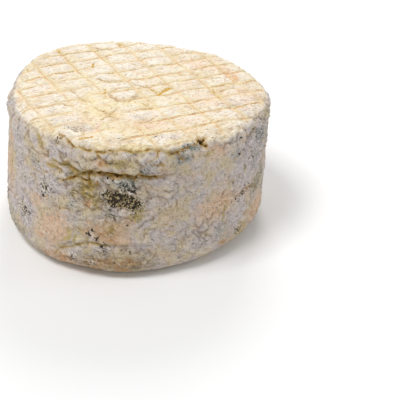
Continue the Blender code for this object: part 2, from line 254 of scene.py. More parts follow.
def thread_numbers(threads, x, y):
    """The smooth thread number at each place, and the distance to the nearest thread."""
    along, across = thread_axes(threads, x, y)
    numbers = np.arange(-threads["count"] - 1, threads["count"] + 2)
    lines = []
    for number in numbers:
        line = threads["middle"] + threads["pitch"] * number + threads.get("drift", 0) * number * number
        line = line - threads.get("bend", 0) * np.minimum(along, 0.0) ** 2
        if "wander" in threads:
            probes = (along / WANDER_LENGTH, number * THREAD_SHIFT, threads["pitch"])
            probes = np.stack(np.broadcast_arrays(*probes), axis=1)
            wiggle = grain(probes, 1.0) + WIGGLE_SHARE * grain(probes * WIGGLE_CLOSER, 1.0)
            line = line + threads["wander"] * wiggle / 2.0
        lines.append(line)
    lines = np.stack(lines, axis=1)
    below = np.clip((across[:, None] >= lines).sum(axis=1) - 1, 0, len(numbers) - 2)
    rows = np.arange(len(across))
    gap = lines[rows, below + 1] - lines[rows, below]
    number = numbers[below] + (across - lines[rows, below]) / gap
    return number, np.abs(number - np.round(number)) * gap


# %% [markdown]
# A groove is only one or two faces wide. It stays straight if a row of faces runs along it, so
# the corners near a thread are first drawn onto it, as a maker would draw a line before cutting.

# %% Draw the net's rows onto the threads
PULL_REACH = 1.15
FULL_PULL = 0.55 * PULL_REACH
top_rows = np.flatnonzero(is_top)
inwards = 1.0 - share[top_rows]
for threads in TOP_PRINT:
    number, away = thread_numbers(threads, base[top_rows, 0], base[top_rows, 1])
    pull = np.sign(number - np.round(number)) * away * (1.0 - smoothstep(FULL_PULL, PULL_REACH, away))
    pull *= smoothstep(0.0, 0.05, inwards)
    turn = math.radians(threads["direction"])
    base[top_rows, 0] += pull * math.sin(turn)
    base[top_rows, 1] -= pull * math.cos(turn)

(steep, steep_away), (flat, flat_away), (foot_steep, foot_steep_away), (foot_flat, foot_flat_away) = (
    thread_numbers(threads, base[:, 0], base[:, 1]) for threads in TOP_PRINT + FOOT_PRINT
)
print("thread numbers run from", round(float(steep.min()), 1), "to", round(float(steep.max()), 1))

# %% [markdown]
# The print isn't equally deep everywhere. It fades towards the rim, it is nearly gone in front
# of the middle, where the paste swelled and smoothed it out, and the straight threads are
# crispest at the back on the left. These places are read from the photograph and noted as soft
# round spots.

# %% How deep the print is
PRINT_FADE = (3.0, 8.5)
FOOT_PRINT_FADE = (14.4, 18.4)
# The faint place: its middle, its half sizes, and what is left of the print there
FAINT_PRINT = ((-26, -52), (34, 46), 0.4)
# Crisp stretches of the straight threads: x, y, reach, strength
CRISP_STEEP = (
    (-48, 36, 44, 0.55), (59, -10, 11, 0.6), (45, -34, 9, 0.4), (27, -63, 12, 0.45), (28, 52, 9, 0.35),
)
# The share of the full depth that each set has outside them, and how much it varies
STEEP_SHARE, STEEP_VARIES = 0.45, 0.25
FLAT_SHARE, FLAT_VARIES, FLAT_VARIES_FINELY = 0.7, 0.35, 0.3

rim_inset = outline_radius(direction, height) - np.hypot(base[:, 0], base[:, 1])
(faint_x, faint_y), (faint_wide, faint_long), faint_left = FAINT_PRINT
from_faint = np.hypot((base[:, 0] - faint_x) / faint_wide, (base[:, 1] - faint_y) / faint_long)
print_depth = faint_left + (1.0 - faint_left) * smoothstep(0.5, 1.1, from_faint)
print_depth *= smoothstep(*PRINT_FADE, rim_inset) * in_upper_half
crisp = 0.0
for x, y, reach, strength in CRISP_STEEP:
    crisp = crisp + strength * swell(np.hypot(base[:, 0] - x, base[:, 1] - y), reach)
uneven = grain(base, 24.0, 5.0)
steep_depth = print_depth * np.clip(STEEP_SHARE + crisp + STEEP_VARIES * uneven, 0.0, 1.0)
flat_share = FLAT_SHARE + FLAT_VARIES * uneven + FLAT_VARIES_FINELY * grain(base, 11.0, 15.0)
flat_depth = print_depth * np.clip(flat_share, 0.2, 1.0)
foot_depth = smoothstep(*FOOT_PRINT_FADE, rim_inset) * is_foot
print("corners in the print:", int((np.maximum(steep_depth, flat_depth) > 0.5).sum()))

# %% [markdown]
# ## Folds of the wall
#
# The wall sagged under the rim and folded where it did. A fold is a lip of skin that rolls over
# a cut. The folds are the solid's, given as points that they run through, with a sharper cut
# and one to two millimetres lower, where the photograph shows them. The wall that faces away
# has folds of the same kind, drawn with a fixed seed. Under the rim the skin rolls outwards.

# %% Folds of the wall
# Each fold: its points as direction and height, how far the lip stands out, how deep the cut is
SHOWN_FOLDS = (
    (((-124, 82.2), (-113, 80.7), (-109, 78.7), (-105, 80.2), (-95, 79.2), (-84, 78.2),
      (-74, 80.2)), 1.3, 2),
    (((-118, 70), (-112, 74), (-107, 73), (-102, 74.5)), 0.5, 1.2),
    (((-121, 16), (-112, 24), (-106, 28.5), (-100, 27), (-88, 28), (-76, 25)), 0.9, 1.5),
    (((-134, 95), (-117, 94), (-105, 94.5), (-95, 95), (-83, 94), (-64, 93)), 0.4, 1.5),
)
HIDDEN_SIDE = (-62, 205)
HIDDEN_FOLDS = 9
HIDDEN_REACH = (26, 46)
HIDDEN_HEIGHTS = (16, 88)
HIDDEN_LIP = (0.5, 1.0)
HIDDEN_CUT = (1.2, 2.0)
FOLD_SEED = 5
FOLD_FADE = 9.0
FOLD_WOBBLE = 0.7
CUT_WIDTH = 1.5
LIP_ABOVE = 2.6
LIP_WIDTH = 2.4
HOLLOW_BELOW = 6.0
HOLLOW_WIDTH = 4.5
HOLLOW_SHARE = 0.22
# Where the roll under the rim starts and ends, then its level, half height and bulge
RIM_ROLL = ((-150, -132), (-78, -60), (89.0, 5.5, 1.2))
# The roll further round: direction and width, then the bulge and the hollow below it
LEFT_ROLL = ((-172.0, 16.0), (89.0, 4.5, 1.1), (81.5, 2.6, -0.8))


def hidden_folds():
    """Folds for the wall that faces away, spread evenly round it."""
    draw = random.Random(FOLD_SEED)
    start, end = HIDDEN_SIDE
    low, high = HIDDEN_HEIGHTS
    pitch = (end - start) / HIDDEN_FOLDS
    folds = []
    for number in range(HIDDEN_FOLDS):
        reach = draw.uniform(*HIDDEN_REACH)
        first = start + pitch * number + draw.uniform(0, 8)
        middle = low + (high - low) * (0.25 + 0.5 * (number % 2) + draw.uniform(-0.2, 0.2))
        points = tuple((first + reach * along, middle + draw.uniform(-4, 4)) for along in (0, 0.3, 0.6, 1))
        folds.append((points, draw.uniform(*HIDDEN_LIP), draw.uniform(*HIDDEN_CUT)))
    return tuple(folds)


def path_height(points, direction):
    """Height of a fold at each direction, by soft steps between its points."""
    level = np.full_like(direction, float(points[0][1]))
    for (start, low), (end, high) in zip(points, points[1:]):
        level += (high - low) * smoothstep(start, end, direction)
    return level


folds = SHOWN_FOLDS + hidden_folds()
relief = np.zeros(len(base))
cut_stain = np.zeros(len(base))
wobble = grain(base, 7.0, 2.0)
for points, lip, cut in folds:
    start, end = points[0][0], points[-1][0]
    middle = (start + end) / 2.0
    along = middle + turned(direction, middle)
    ends = smoothstep(start, start + FOLD_FADE, along) * (1.0 - smoothstep(end - FOLD_FADE, end, along))
    above = height - path_height(points, along) + FOLD_WOBBLE * wobble
    relief += ends * lip * swell(above - LIP_ABOVE, LIP_WIDTH)
    relief -= ends * cut * swell(above, CUT_WIDTH)
    relief -= ends * cut * HOLLOW_SHARE * swell(above + HOLLOW_BELOW, HOLLOW_WIDTH)
    if start > HIDDEN_SIDE[0]:
        broken_up = np.clip(0.7 + 0.6 * wobble, 0.0, 1.0)
        cut_stain = np.maximum(cut_stain, 0.7 * ends * swell(above + 0.3, 1.1) * broken_up)
roll_in, roll_out, (level, half_height, bulge) = RIM_ROLL
roll = smoothstep(*roll_in, direction) * (1.0 - smoothstep(*roll_out, direction))
relief += bulge * roll * swell(height - level, half_height)
(where, width), *rolls = LEFT_ROLL
for level, half_height, bulge in rolls:
    relief += bulge * swell(turned(direction, where), width) * swell(height - level, half_height)
print("folds:", len(folds))

# %% [markdown]
# ## Pits and creases
#
# Pits are where the skin tore when the wheel was turned, or where a mould patch sank in. They
# are named places, given by direction and height on the wall.

# %% Pits
# Each pit: direction, height, half width, depth
PITS = (
    (-117, 94, 2.6, 2.6), (-61.7, 95.5, 3, 2.4), (-96, 62, 3.6, 1.5), (-93, 73, 2.6, 1.4),
    (-105, 36, 2.4, 1.1), (-40, 79, 2.6, 1.5), (-5, 52, 3.2, 1.6), (38, 70, 3, 1.8), (82, 30, 3.4, 1.6),
    (118, 83, 2.8, 2), (161, 44, 3.2, 1.6),
)


def from_spot(where, level, half_width, half_height):
    """Distance from a place on the wall, as a share of the spot's half sizes."""
    return np.hypot(turned(direction, where) * ARC / half_width, (height - level) / half_height)


for where, level, width, depth in PITS:
    relief -= depth * swell(from_spot(where, level, width, width)) * on_wall
print("pits:", len(PITS))

# %% [markdown]
# Creases are the fine lines in which the skin folds, splits and turns dark, with painted shadow
# in the deepest cuts. Each is an open run of points. The run is measured on the unrolled wall, so
# that it keeps its width over the shoulder too. The nearest crease's distance is stored, in units
# of its width, because the material can draw a sharper line from a smooth distance than the mesh
# could hold.

# %% Creases of the wall
# Each crease: its points, half width, depth, how olive and how dark it is stained, the darkest also with
# painted shadow
CREASES = (
    (((-121.5, 97.8), (-119.5, 96.9), (-118.5, 97.4), (-117, 96.3),
      (-115.3, 96.2)), 0.8, 0.8, 0.6, 0.4),
    (((-115.3, 96.2), (-113.5, 95.3), (-112, 96), (-109, 95.2), (-107, 95.8),
      (-105, 95.3)), 0.8, 0.9, 0.9, 0.75),
    (((-105, 95.3), (-102.5, 95.4), (-100, 96.5), (-95, 97), (-92, 96.4), (-88, 96.3), (-84, 96.8),
      (-81, 96)), 0.9, 1, 0.9, 0.64),
    (((-81, 96), (-78, 95), (-75, 94.6), (-71, 95.2), (-68, 95.6), (-64, 96.5)), 0.8, 0.9, 0.6, 0.64),
    (((-105, 95.3), (-104, 93.5), (-102.8, 92.4)), 0.7, 0.9, 0.4, 0.75),
    (((-95.2, 97.9), (-93.8, 97)), 0.6, 0.5, 0.3, 0.6),
    (((-132, 95.5), (-129, 92.6), (-127, 92)), 0.8, 0.6, 0.7, 0.3),
    (((-128.5, 92), (-128, 90)), 1, 0.5, 0.7, 0.3),
    (((-121.5, 83.8), (-120, 84.3), (-118.5, 82.5), (-117, 82.8), (-115.5, 82.6), (-114, 81.3),
      (-112, 80.6), (-110, 80)), 0.8, 0.9, 0.8, 0.5),
    (((-117.3, 84.3), (-116, 85.3), (-114.5, 84.9), (-113.5, 83.8)), 0.7, 0.7, 0.8, 0.35),
    (((-112.7, 81.2), (-112, 82), (-112, 84)), 0.7, 0.7, 0.6, 0.35),
    (((-109.5, 79.3), (-108, 80.3), (-106.8, 81.7), (-105.5, 81), (-104, 81.3), (-102, 82),
      (-100, 81.5), (-98, 81)), 1.35, 1.3, 0.9, 1.5),
    (((-98, 81), (-96.5, 80.3), (-95, 80.5), (-94, 81.5), (-92.5, 80.7), (-91, 80.2), (-89.5, 80.2),
      (-88.5, 81.5)), 1.55, 1.5, 0.7, 1.6),
    (((-88.5, 81.5), (-87, 81), (-84, 80)), 1.3, 1.4, 0.5, 1.4),
    (((-84, 80), (-81.5, 79.6)), 1.1, 1.2, 0.4, 0.85),
    (((-81.5, 79.6), (-79, 79.8)), 0.9, 0.9, 0.3, 0.5),
    (((-79, 79.8), (-75, 80.8)), 0.7, 0.7, 0.2, 0.25),
    (((-115.3, 73), (-113.5, 74), (-112.5, 75.6), (-111.8, 76.3), (-110.8, 75.6), (-109, 74.6),
      (-107, 75.2)), 0.9, 1.3, 0.7, 0.8),
    (((-107, 80), (-106.8, 76), (-107, 73.2), (-106.4, 72), (-105.1, 71.1), (-103.4, 73),
      (-103.6, 76)), 0.7, 1.1, 0.6, 0.62),
    (((-118.2, 70.3), (-115.8, 72.2)), 0.8, 0.6, 0, 0.75),
    (((-109.6, 79.8), (-110.5, 78.5), (-112.4, 78.6), (-113.5, 77.2)), 0.8, 0.8, 0.9, 0.35),
    (((-124.5, 79), (-121, 79), (-118.5, 77.5)), 1.2, 0.5, 0.6, 0.35),
    (((-120, 14), (-118.5, 17.5), (-117, 19.5), (-115.5, 21), (-113, 23), (-111, 24.8),
      (-110, 26)), 0.65, 0.9, 0.6, 0.45),
    (((-110, 26), (-108.5, 27), (-106.5, 28.5), (-105, 29), (-103, 29), (-101, 28.2),
      (-99, 28.4)), 0.6, 0.8, 0.7, 0.5),
    (((-99, 28.4), (-96, 28.8), (-91, 29)), 0.5, 0.5, 0.5, 0.2),
    (((-106.5, 28.5), (-106.2, 32), (-106, 34)), 0.7, 0.6, 0.8, 0.4),
    (((-111.6, 26), (-111.6, 29), (-110.4, 31.5)), 0.7, 0.6, 0.8, 0.15),
    (((-115.7, 28), (-114, 29.5), (-113, 31.8)), 0.7, 0.6, 0.8, 0.25),
    (((-83, 96.5), (-81, 96), (-82, 93.5), (-85, 91)), 0.8, 0.9, 0.4, 0.55),
    (((-77, 93.5), (-75, 94), (-73, 93.5), (-72.4, 91), (-71, 89)), 0.8, 0.9, 0.4, 0.6),
    (((-62.6, 98), (-61.6, 97), (-61, 95.8), (-60.2, 94.4)), 1.7, 1.5, 0, 2.6),
    (((-63.2, 97.3), (-61.6, 97), (-60.2, 97.5)), 1.4, 1, 0, 2.4),
    (((-61.6, 97), (-62.8, 95.4)), 1.3, 0.9, 0, 2.2),
    (((-83.5, 89), (-81.5, 88.5), (-79.5, 88.7)), 0.8, 0.7, 0.3, 0.6),
    (((-104.2, 50.5), (-105.6, 42)), 0.8, -0.5, 0, 0),
    (((-102.7, 88.6), (-101.9, 87.9)), 0.8, 0.5, 0, 0.5),
    (((-122, 97.9), (-120, 97.8), (-117.5, 97.2), (-115.3, 96.2)), 0.8, 0.6, 0.1, 0.85),
    (((-117.5, 94.5), (-116.8, 91), (-115.2, 88.5)), 1.2, 1, 0.1, 0.05),
    (((-113, 94), (-112.4, 90), (-111.2, 87)), 1.2, 1.1, 0.2, 0.1),
    (((-109.5, 93), (-109.8, 89.5), (-108.6, 87.5)), 1.1, 0.9, 0.1, 0.05),
    (((-104.2, 90.5), (-105, 87), (-104, 84.5)), 1.2, 1, 0.2, 0.1),
    (((-98.5, 94.5), (-98, 91), (-99, 88.5)), 1.1, 0.9, 0.2, 0.1),
    (((-94, 93), (-92.5, 90.5), (-93, 87)), 1.1, 0.9, 0.1, 0.05),
    (((-89, 94), (-88, 91), (-86.5, 88)), 1.1, 0.9, 0.2, 0.1),
    (((-121, 50.5), (-118, 50.2), (-115.5, 51.2), (-113, 50)), 0.7, 0.7, 0, 0.35),
)
CREASE_SEED = 41
HIDDEN_CREASES = 26
HIDDEN_CREASE_SPAN = (-52, 192)
FAR_FROM_CREASE = 6.0
CREASE_WOBBLE = 0.35
STAIN_REACH = 1.9
# Below the shoulder the heights read from the photograph lie this much too high
LOWERED = 1.5


def hidden_creases():
    """Short creases for the wall that faces away."""
    draw = random.Random(CREASE_SEED)
    start, end = HIDDEN_CREASE_SPAN
    creases = []
    for number in range(HIDDEN_CREASES):
        where = start + (end - start) * (number + draw.uniform(0, 1)) / HIDDEN_CREASES
        level = draw.uniform(14, 94)
        upright = draw.random() < 0.4
        points = [(where, level)]
        for step in range(draw.randint(2, 5)):
            where += draw.uniform(-0.6, 0.6) if upright else draw.uniform(1.2, 2.6)
            level += draw.uniform(1.5, 3.5) if upright else draw.uniform(-1.4, 1.4)
            points.append((where, min(level, 96)))
        limits = ((0.7, 1.1), (0.6, 1.4), (0.2, 0.9), (0.1, 0.65))
        creases.append((tuple(points), *(draw.uniform(*limit) for limit in limits)))
    return tuple(creases)


def distance_to_run(x, y, run):
    """Distance from each place to an open line of points."""
    nearest = np.full(len(x), np.inf)
    for (x0, y0), (x1, y1) in zip(run, run[1:]):
        length = (x1 - x0) ** 2 + (y1 - y0) ** 2
        along = np.clip(((x - x0) * (x1 - x0) + (y - y0) * (y1 - y0)) / length, 0.0, 1.0)
        nearest = np.minimum(nearest, np.hypot(x - x0 - along * (x1 - x0), y - y0 - along * (y1 - y0)))
    return nearest


wall_rows = np.flatnonzero(on_wall)
wall_rows = wall_rows[np.argsort(climbed[wall_rows])]


def climb_at(level):
    """How far up the profile a height read from the photograph lies."""
    lowered = level - LOWERED * (1.0 - smoothstep(90.0, 99.0, level))
    return np.interp(lowered, height[wall_rows], climbed[wall_rows])


side = off_floor & ~is_top
olive_stain = np.zeros(len(base))
crease_away = np.full(len(base), FAR_FROM_CREASE)
crease_dark = np.zeros(len(base))
broken_line = np.clip(0.8 + 0.75 * grain(base, 3.0, 6.0), 0.1, 1.15)
all_creases = CREASES + hidden_creases()
for run, width, depth, olive_part, dark_part in all_creases:
    middle = run[0][0]
    unrolled = [((where - middle) * ARC, float(climb_at(level))) for where, level in run]
    away = distance_to_run(turned(direction, middle) * ARC + CREASE_WOBBLE * wobble, climbed, unrolled)
    relief -= depth * swell(away, width) * side
    nearer = (away / width < crease_away) & ~is_top
    crease_away = np.where(nearer, away / width, crease_away)
    crease_dark = np.where(nearer, dark_part * broken_line, crease_dark)
    olive_stain = np.maximum(olive_stain, olive_part * swell(away, width * STAIN_REACH) * side)
print("creases:", len(all_creases))

# %% [markdown]
# ## Cracks, furrows and sags of the top
#
# The top split in a few short cracks, with ochre paste showing in them, and soft furrows run
# round its swollen places. Both are runs of points too, given by x and y. The furrows also keep
# their distance, so that the material can paint shade into them. At the rim the shoulder sank
# or swelled in a few directions.

# %% Cracks of the top
# Each crack: its points, half width, depth, how strongly it is stained
TOP_CRACKS = (
    (((7, 5), (10, -1), (15, -13)), 1.4, 1, 0.75),
    (((24, 1), (20, -4), (15, -13)), 1.7, 1.3, 1),
    (((22, -1), (21, -3)), 2.2, 0.6, 1.1),
    (((64, 36), (70, 27), (76, 13)), 2, 1.3, 0.25),
    (((-34, 42), (-35, 37)), 1.1, 1.2, 1),
    (((-40, 31), (-36, 34)), 1.2, 0.7, 0.5),
    (((-23, -7), (-24, -13)), 0.9, 1.1, 1),
    (((-15, 90), (-15, 80)), 1.8, 1.6, 0.5),
    (((56, 0), (60, -12)), 1.2, 0.9, 0.6),
    (((-14, -23), (-6, -24)), 1.2, 0.5, 0.4),
    (((24, -52), (27, -60)), 1, 0.6, 0.5),
    (((-38, -88), (-29, -85)), 1.3, 0.7, 0.7),
    (((-86, 29), (-80, 27)), 1.3, 0.8, 0.6),
    (((-63, 70), (-61, 60)), 1.1, 0.9, 0.6),
    (((-29, 74), (-26, 77)), 0.9, 0.6, 0.4),
)
# Each furrow: its points, half width, depth
TOP_FURROWS = (
    (((-21, -14), (-19, -22), (-13, -27), (-6, -26), (-1, -20), (0, -12)), 1.3, 1.2),
    (((-21, -12), (-16, -5), (-9, -3), (-2, -6)), 1.1, 0.8),
    (((-5, 8), (0, 3), (8, 2), (15, 6)), 1.1, 1.1),
    (((-31, 12), (-26, 8), (-20, 9), (-12, 12), (-9, 18)), 1.1, 1.2),
    (((-50, -8), (-42, -20), (-36, -28)), 1.4, 0.75),
    (((-31, -38), (-24, -46), (-16, -54)), 1.3, 0.8),
    (((-14, -40), (-19, -50), (-25, -60)), 1.2, 0.8),
    (((2, -62), (10, -55), (16, -47)), 1.2, 0.7),
    (((-36, 76), (-30, 72), (-24, 75)), 1.1, 0.8),
    (((48, 22), (56, 18), (62, 20)), 1.1, 0.7),
    (((-70, 14), (-62, 10), (-55, 14)), 1.2, 0.7),
    (((30, 30), (36, 24), (45, 26)), 1.1, 0.7),
    (((-6, 44), (4, 40), (12, 43)), 1.1, 0.7),
    (((-58, -28), (-50, -36), (-44, -34)), 1.1, 0.7),
    (((62, -2), (70, 2), (78, -1)), 1.1, 0.7),
    (((34, -30), (42, -35), (50, -31)), 1.1, 0.6),
)
# Where the shoulder sank, negative where it swelled: direction, width, depth
SHOULDER_SAGS = (
    (173, 13, 1.9), (14, 12, 1.3), (50, 10, -1), (141, 8, -0.9),
)
CRACK_WOBBLE = 0.6
FURROW_WOBBLE = 0.8
# The sags fade in between these heights and these shares of the radius
SAG_HEIGHTS, SAG_SHARES = (82.0, 95.0), (0.75, 0.98)
# The relief fades out between these heights, so that the wheel stands on a clean foot
RELIEF_FADE = (4.0, 10.0)

crack_stain = np.zeros(len(base))
for run, width, depth, stain in TOP_CRACKS:
    crack = swell(distance_to_run(base[:, 0] + CRACK_WOBBLE * wobble, base[:, 1], run), width) * near_top
    relief -= depth * crack
    crack_stain = np.maximum(crack_stain, stain * crack)
furrows = np.zeros(len(base))
furrow_away = np.full(len(base), FAR_FROM_CREASE)
for run, width, depth in TOP_FURROWS:
    away = distance_to_run(*(base[:, :2] + FURROW_WOBBLE * wobble[:, None]).T, run)
    furrows = np.maximum(furrows, depth * swell(away, width))
    furrow_away = np.minimum(furrow_away, away / depth)
near_rim = smoothstep(*SAG_HEIGHTS, height) * smoothstep(*SAG_SHARES, share)
for where, width, depth in SHOULDER_SAGS:
    relief -= depth * swell(turned(direction, where), width) * near_rim
relief *= smoothstep(*RELIEF_FADE, height)
print("cracks:", len(TOP_CRACKS), "furrows:", len(TOP_FURROWS))

# %% [markdown]
# ## The skin itself
#
# Between its features the rind is never smooth. The top has soft low wrinkles that run with the
# heavier threads, and each cell of the print is a little pillow. The wall is crumpled: where
# noise crosses zero its absolute value makes a sharp valley between two round puffs, which is
# just how dried skin creases. Some stretches of the wall are calm and others are restless.

# %% Crumples of the wall
# The noise is pushed about by this much, so that its puffs aren't all alike
WARP = 2.2
WARP_SHIFTS = (51.0, 57.0, 63.0)
# Lengths of the puffs, of the fine puffs and of the finest tooth
PUFF_LENGTHS, FINE_PUFF_LENGTHS, TOOTH_LENGTH = (7.0, 7.0, 5.5), (3.4, 3.4, 3.0), 2.2
# Puffs are flat above this share of the noise
PUFF_TOP = 0.6
# A band of larger puffs lies under the rim: level, half height, size, depth, middle
PUFF_BAND = (89.0, 6.5, 9.0, 2.2, 0.36)
# Calm and restless places: direction, height, half width, half height
CALM_SPOTS = ((-122.0, 34.0, 22.0, 20.0), (-97.0, 37.0, 13.0, 8.0))
RESTLESS_SPOT = (-103.0, 71.0, 30.0, 20.0)
# The middle of the side that shows, and how far round from it the crumple starts to vary
SHOWN_MIDDLE = -125.0
VARIES_FROM = (40.0, 60.0)
# How strong the crumple is, how much calm, restless and far places change it
FORCE, CALMER, RESTLESS, VARIED = 0.9, 0.4, 0.7, 0.5
# Depth and middle of the puffs and of the fine puffs, and the depth of the finest tooth
PUFFS, FINE_PUFFS, TOOTH = (1.9, 0.8), (1.0, 0.4), 0.15

warped = base + WARP * np.stack([grain(base, 9.0, shift) for shift in WARP_SHIFTS], axis=1)
crumple = np.abs(grain(warped, PUFF_LENGTHS, 3.0))
fine_crumple = np.abs(grain(warped, FINE_PUFF_LENGTHS, 9.0))
tooth = grain(base, TOOTH_LENGTH, 11.0)
calm = np.maximum(*(swell(from_spot(*spot)) for spot in CALM_SPOTS))
restless = swell(from_spot(*RESTLESS_SPOT))
turned_away = smoothstep(*VARIES_FROM, np.abs(turned(direction, SHOWN_MIDDLE)))
force = FORCE - CALMER * calm + RESTLESS * restless
force += VARIED * turned_away * grain(base, (34.0, 34.0, 26.0), 23.0)
wall_relief = 0.0
for puffs, (depth, middle) in ((crumple, PUFFS), (fine_crumple, FINE_PUFFS)):
    wall_relief = wall_relief + depth * np.minimum(puffs, PUFF_TOP) - middle
wall_relief = force * wall_relief + TOOTH * tooth
level, half_height, size, depth, middle = PUFF_BAND
band = swell(height - level, half_height)
band_puffs = np.abs(grain(warped, size, 17.0)) * band
wall_relief += depth * (np.minimum(band_puffs, PUFF_TOP) - middle * band)
print("wall relief from", round(float(wall_relief.min()), 2), "to", round(float(wall_relief.max()), 2), "mm")

# %% Wrinkles and pillows of the top
# Lengths of the wrinkles and of the puffs along the heavy threads, across them and up
WRINKLE_LENGTHS, TOP_PUFF_LENGTHS = (8.0, 2.7, 9.0), (4.6, 3.2, 9.0)
# Height of the wrinkles, the puffs and the soft swells, and the middle of the first two
WRINKLES, TOP_PUFFS, SWELLS, TOP_MIDDLE = 0.7, 0.8, 0.3, 0.6
# How far a cell stands up as a pillow
PILLOW_HEIGHT = 0.5
# The rough ring inside the rim: its distance from the rim, its half width, its puffs
ROUGH_INSET, ROUGH_WIDTH, ROUGH_PUFFS = 5.0, 5.0, (0.8, 0.5)

along, across = thread_axes(TOP_PRINT[1], base[:, 0], base[:, 1])
rows = np.stack([along, across, base[:, 2]], axis=1)
rows += (1.2 * grain(base, 9.0, 71.0))[:, None] * np.array([1.0, -1.0, 0.0])
top_wrinkles = np.abs(grain(rows, WRINKLE_LENGTHS, 31.0))
top_puffs = np.abs(grain(rows, TOP_PUFF_LENGTHS, 37.0))
cell_u, cell_v = (np.abs(number - np.round(number)) * 2.0 for number in (flat, steep))
pillow = (1.0 - (1.0 - cell_u) ** 4) * (1.0 - (1.0 - cell_v) ** 5)
top_relief = WRINKLES * np.minimum(top_wrinkles, PUFF_TOP) + TOP_PUFFS * np.minimum(top_puffs, PUFF_TOP)
top_relief += SWELLS * grain(base, 11.0, 41.0) - TOP_MIDDLE
top_relief += PILLOW_HEIGHT * (pillow - 1.0) * np.minimum(print_depth, 1.0)
rough_ring = swell(rim_inset - ROUGH_INSET, ROUGH_WIDTH) * in_upper_half
depth, middle = ROUGH_PUFFS
top_relief += rough_ring * (depth * crumple - middle) - furrows
print("top relief from", round(float(top_relief.min()), 2), "to", round(float(top_relief.max()), 2), "mm")

# %% [markdown]
# All the reliefs are now added up. The slow lumps are the solid's own formula. All the rest
# cuts inwards from it, so that the skin stays inside the solid. The cream skin of the top ends
# at a ragged line on the shoulder, which dips at the front right and rises beside it.

# %% Add up the skin
# Slow lumps: length, size
LUMPS = ((46.0, 1.3), (15.0, 0.5))
LEVEL_FOOT = 14.0
# How far the whole skin lies inside the solid, and how deep a thread's groove is
INSIDE_BY = 0.55
THREAD_DEPTH = 1.1
FOOT_THREAD_DEPTH = 0.9
# Half widths of the grooves: heavy threads, fine threads, and all on the foot
HEAVY_WIDTH, FINE_WIDTH, FOOT_WIDTH = 0.95, 1.2, 1.0
# Where the cream skin dips and where it rises: direction, width, by how much
SKIN_DIPS = ((-49.0, 11.0, 2.6), (-68.0, 8.0, -1.6))
# How far below the top the skin fades out, and how far the top's relief reaches down
SKIN_FADE = (HEIGHT - 4.0, HEIGHT - 2.2)
TOP_FADE = (HEIGHT - 4.0, HEIGHT - 1.0)

dipped = sum(depth * swell(turned(direction, where), width) for where, width, depth in SKIN_DIPS)
skin_edge = height + dipped + 0.8 * tooth + 0.5 * wobble
skin_top = smoothstep(*SKIN_FADE, skin_edge)
wall_share = (1.0 - smoothstep(*TOP_FADE, height)) * smoothstep(1.0, 8.0, height)
groove = np.maximum(flat_depth * swell(flat_away, HEAVY_WIDTH), steep_depth * swell(steep_away, FINE_WIDTH))
foot_groove = foot_depth * swell(np.minimum(foot_steep_away, foot_flat_away), FOOT_WIDTH)
lumps = sum(size * grain(base, length) / 2.0 for length, size in LUMPS) * smoothstep(0.0, LEVEL_FOOT, height)
fine = wall_share * wall_relief + (1.0 - wall_share) * top_relief * in_upper_half
moved = relief + lumps + fine - (1.0 - wall_share) * THREAD_DEPTH * groove
moved -= INSIDE_BY * (1.0 - is_foot) + foot_groove * FOOT_THREAD_DEPTH
print("fine skin from", round(float(fine.min()), 2), "to", round(float(fine.max()), 2), "mm")

# %% [markdown]
# Every corner moves along its own outward direction, and then to the part's own origin, which
# is under the middle of its box. A few corners are clipped, so that none leaves that box.

# %% Write the skin into the mesh
BOX_MIDDLE = (0.55, -3.94, 0.0)
CLEARANCE = 0.02
placed = base + outward * moved[:, None] - np.array(BOX_MIDDLE)
low_corner, high_corner = (np.array(corner) / MM for corner in cad_box)
outside = np.maximum(low_corner - placed, placed - high_corner).max()
placed = np.clip(placed, low_corner + (CLEARANCE, CLEARANCE, 0.0), high_corner - CLEARANCE)
wheel.data.vertices.foreach_set("co", (placed * MM).ravel())
wheel.data.update()
bpy.ops.object.select_all(action="DESELECT")
wheel.select_set(True)
bpy.context.view_layer.objects.active = wheel
bpy.ops.object.shade_smooth()
print("skin box in mm:", np.round(placed.min(axis=0), 2), np.round(placed.max(axis=0), 2))
print("outside by", round(float(outside), 2), "mm before it was clipped")

# %% [markdown]
# ## Where the colours lie
#
# Mould doesn't colour a rind evenly. Blue-grey felt grows where the air is damp, black-brown
# tufts where it was rubbed, olive along the folds where fat wept out, and the bare rind shows
# through in peach. Some places are simply darker, and young bloom is nearly white. Each colour
# has a field: soft spots at the places where it shows, and more of the same kind, drawn with a
# fixed seed, round the wall that faces away. The material breaks their edges up later. The
# fields are stored on the corners, so they follow the surface.

# %% Spots of colour on the wall
# Each spot: direction, height, half width, half height, strength
SLATE = (
    (-131, 76, 9, 5, 0.6), (-113, 54, 8, 5, 0.5), (-98, 52, 4.5, 4, 0.45), (-93.5, 73, 8, 5, 1.25),
    (-87, 82, 5, 3, 0.9), (-84, 87, 4, 3, 0.6), (-144, 11, 12, 4, 1.1), (-155, 13, 12, 8, 0.9),
    (-97, 7, 4, 3, 0.9), (-88, 8, 5, 3, 0.8), (-67, 95.5, 9, 4, 1.15), (-72, 89.5, 8, 5, 1.1),
    (-22, 80, 6, 9, 0.7), (-44, 79, 8, 7, 0.6), (-28, 84, 8, 6, 0.6), (-14, 74, 9, 15, 0.6),
    (-27, 66, 7, 12, 0.5), (-20, 52, 8, 9, 0.5), (-4, 60, 6, 12, 0.45), (-122, 58, 7, 6, 0.25),
    (-98.5, 11, 3.5, 2.5, 0.45), (-92, 11, 4, 3, 0.45), (-110, 45, 6, 6, 0.3), (-129, 13, 5, 3, 0.5),
    (-96, 38, 5, 3, 0.2),
)
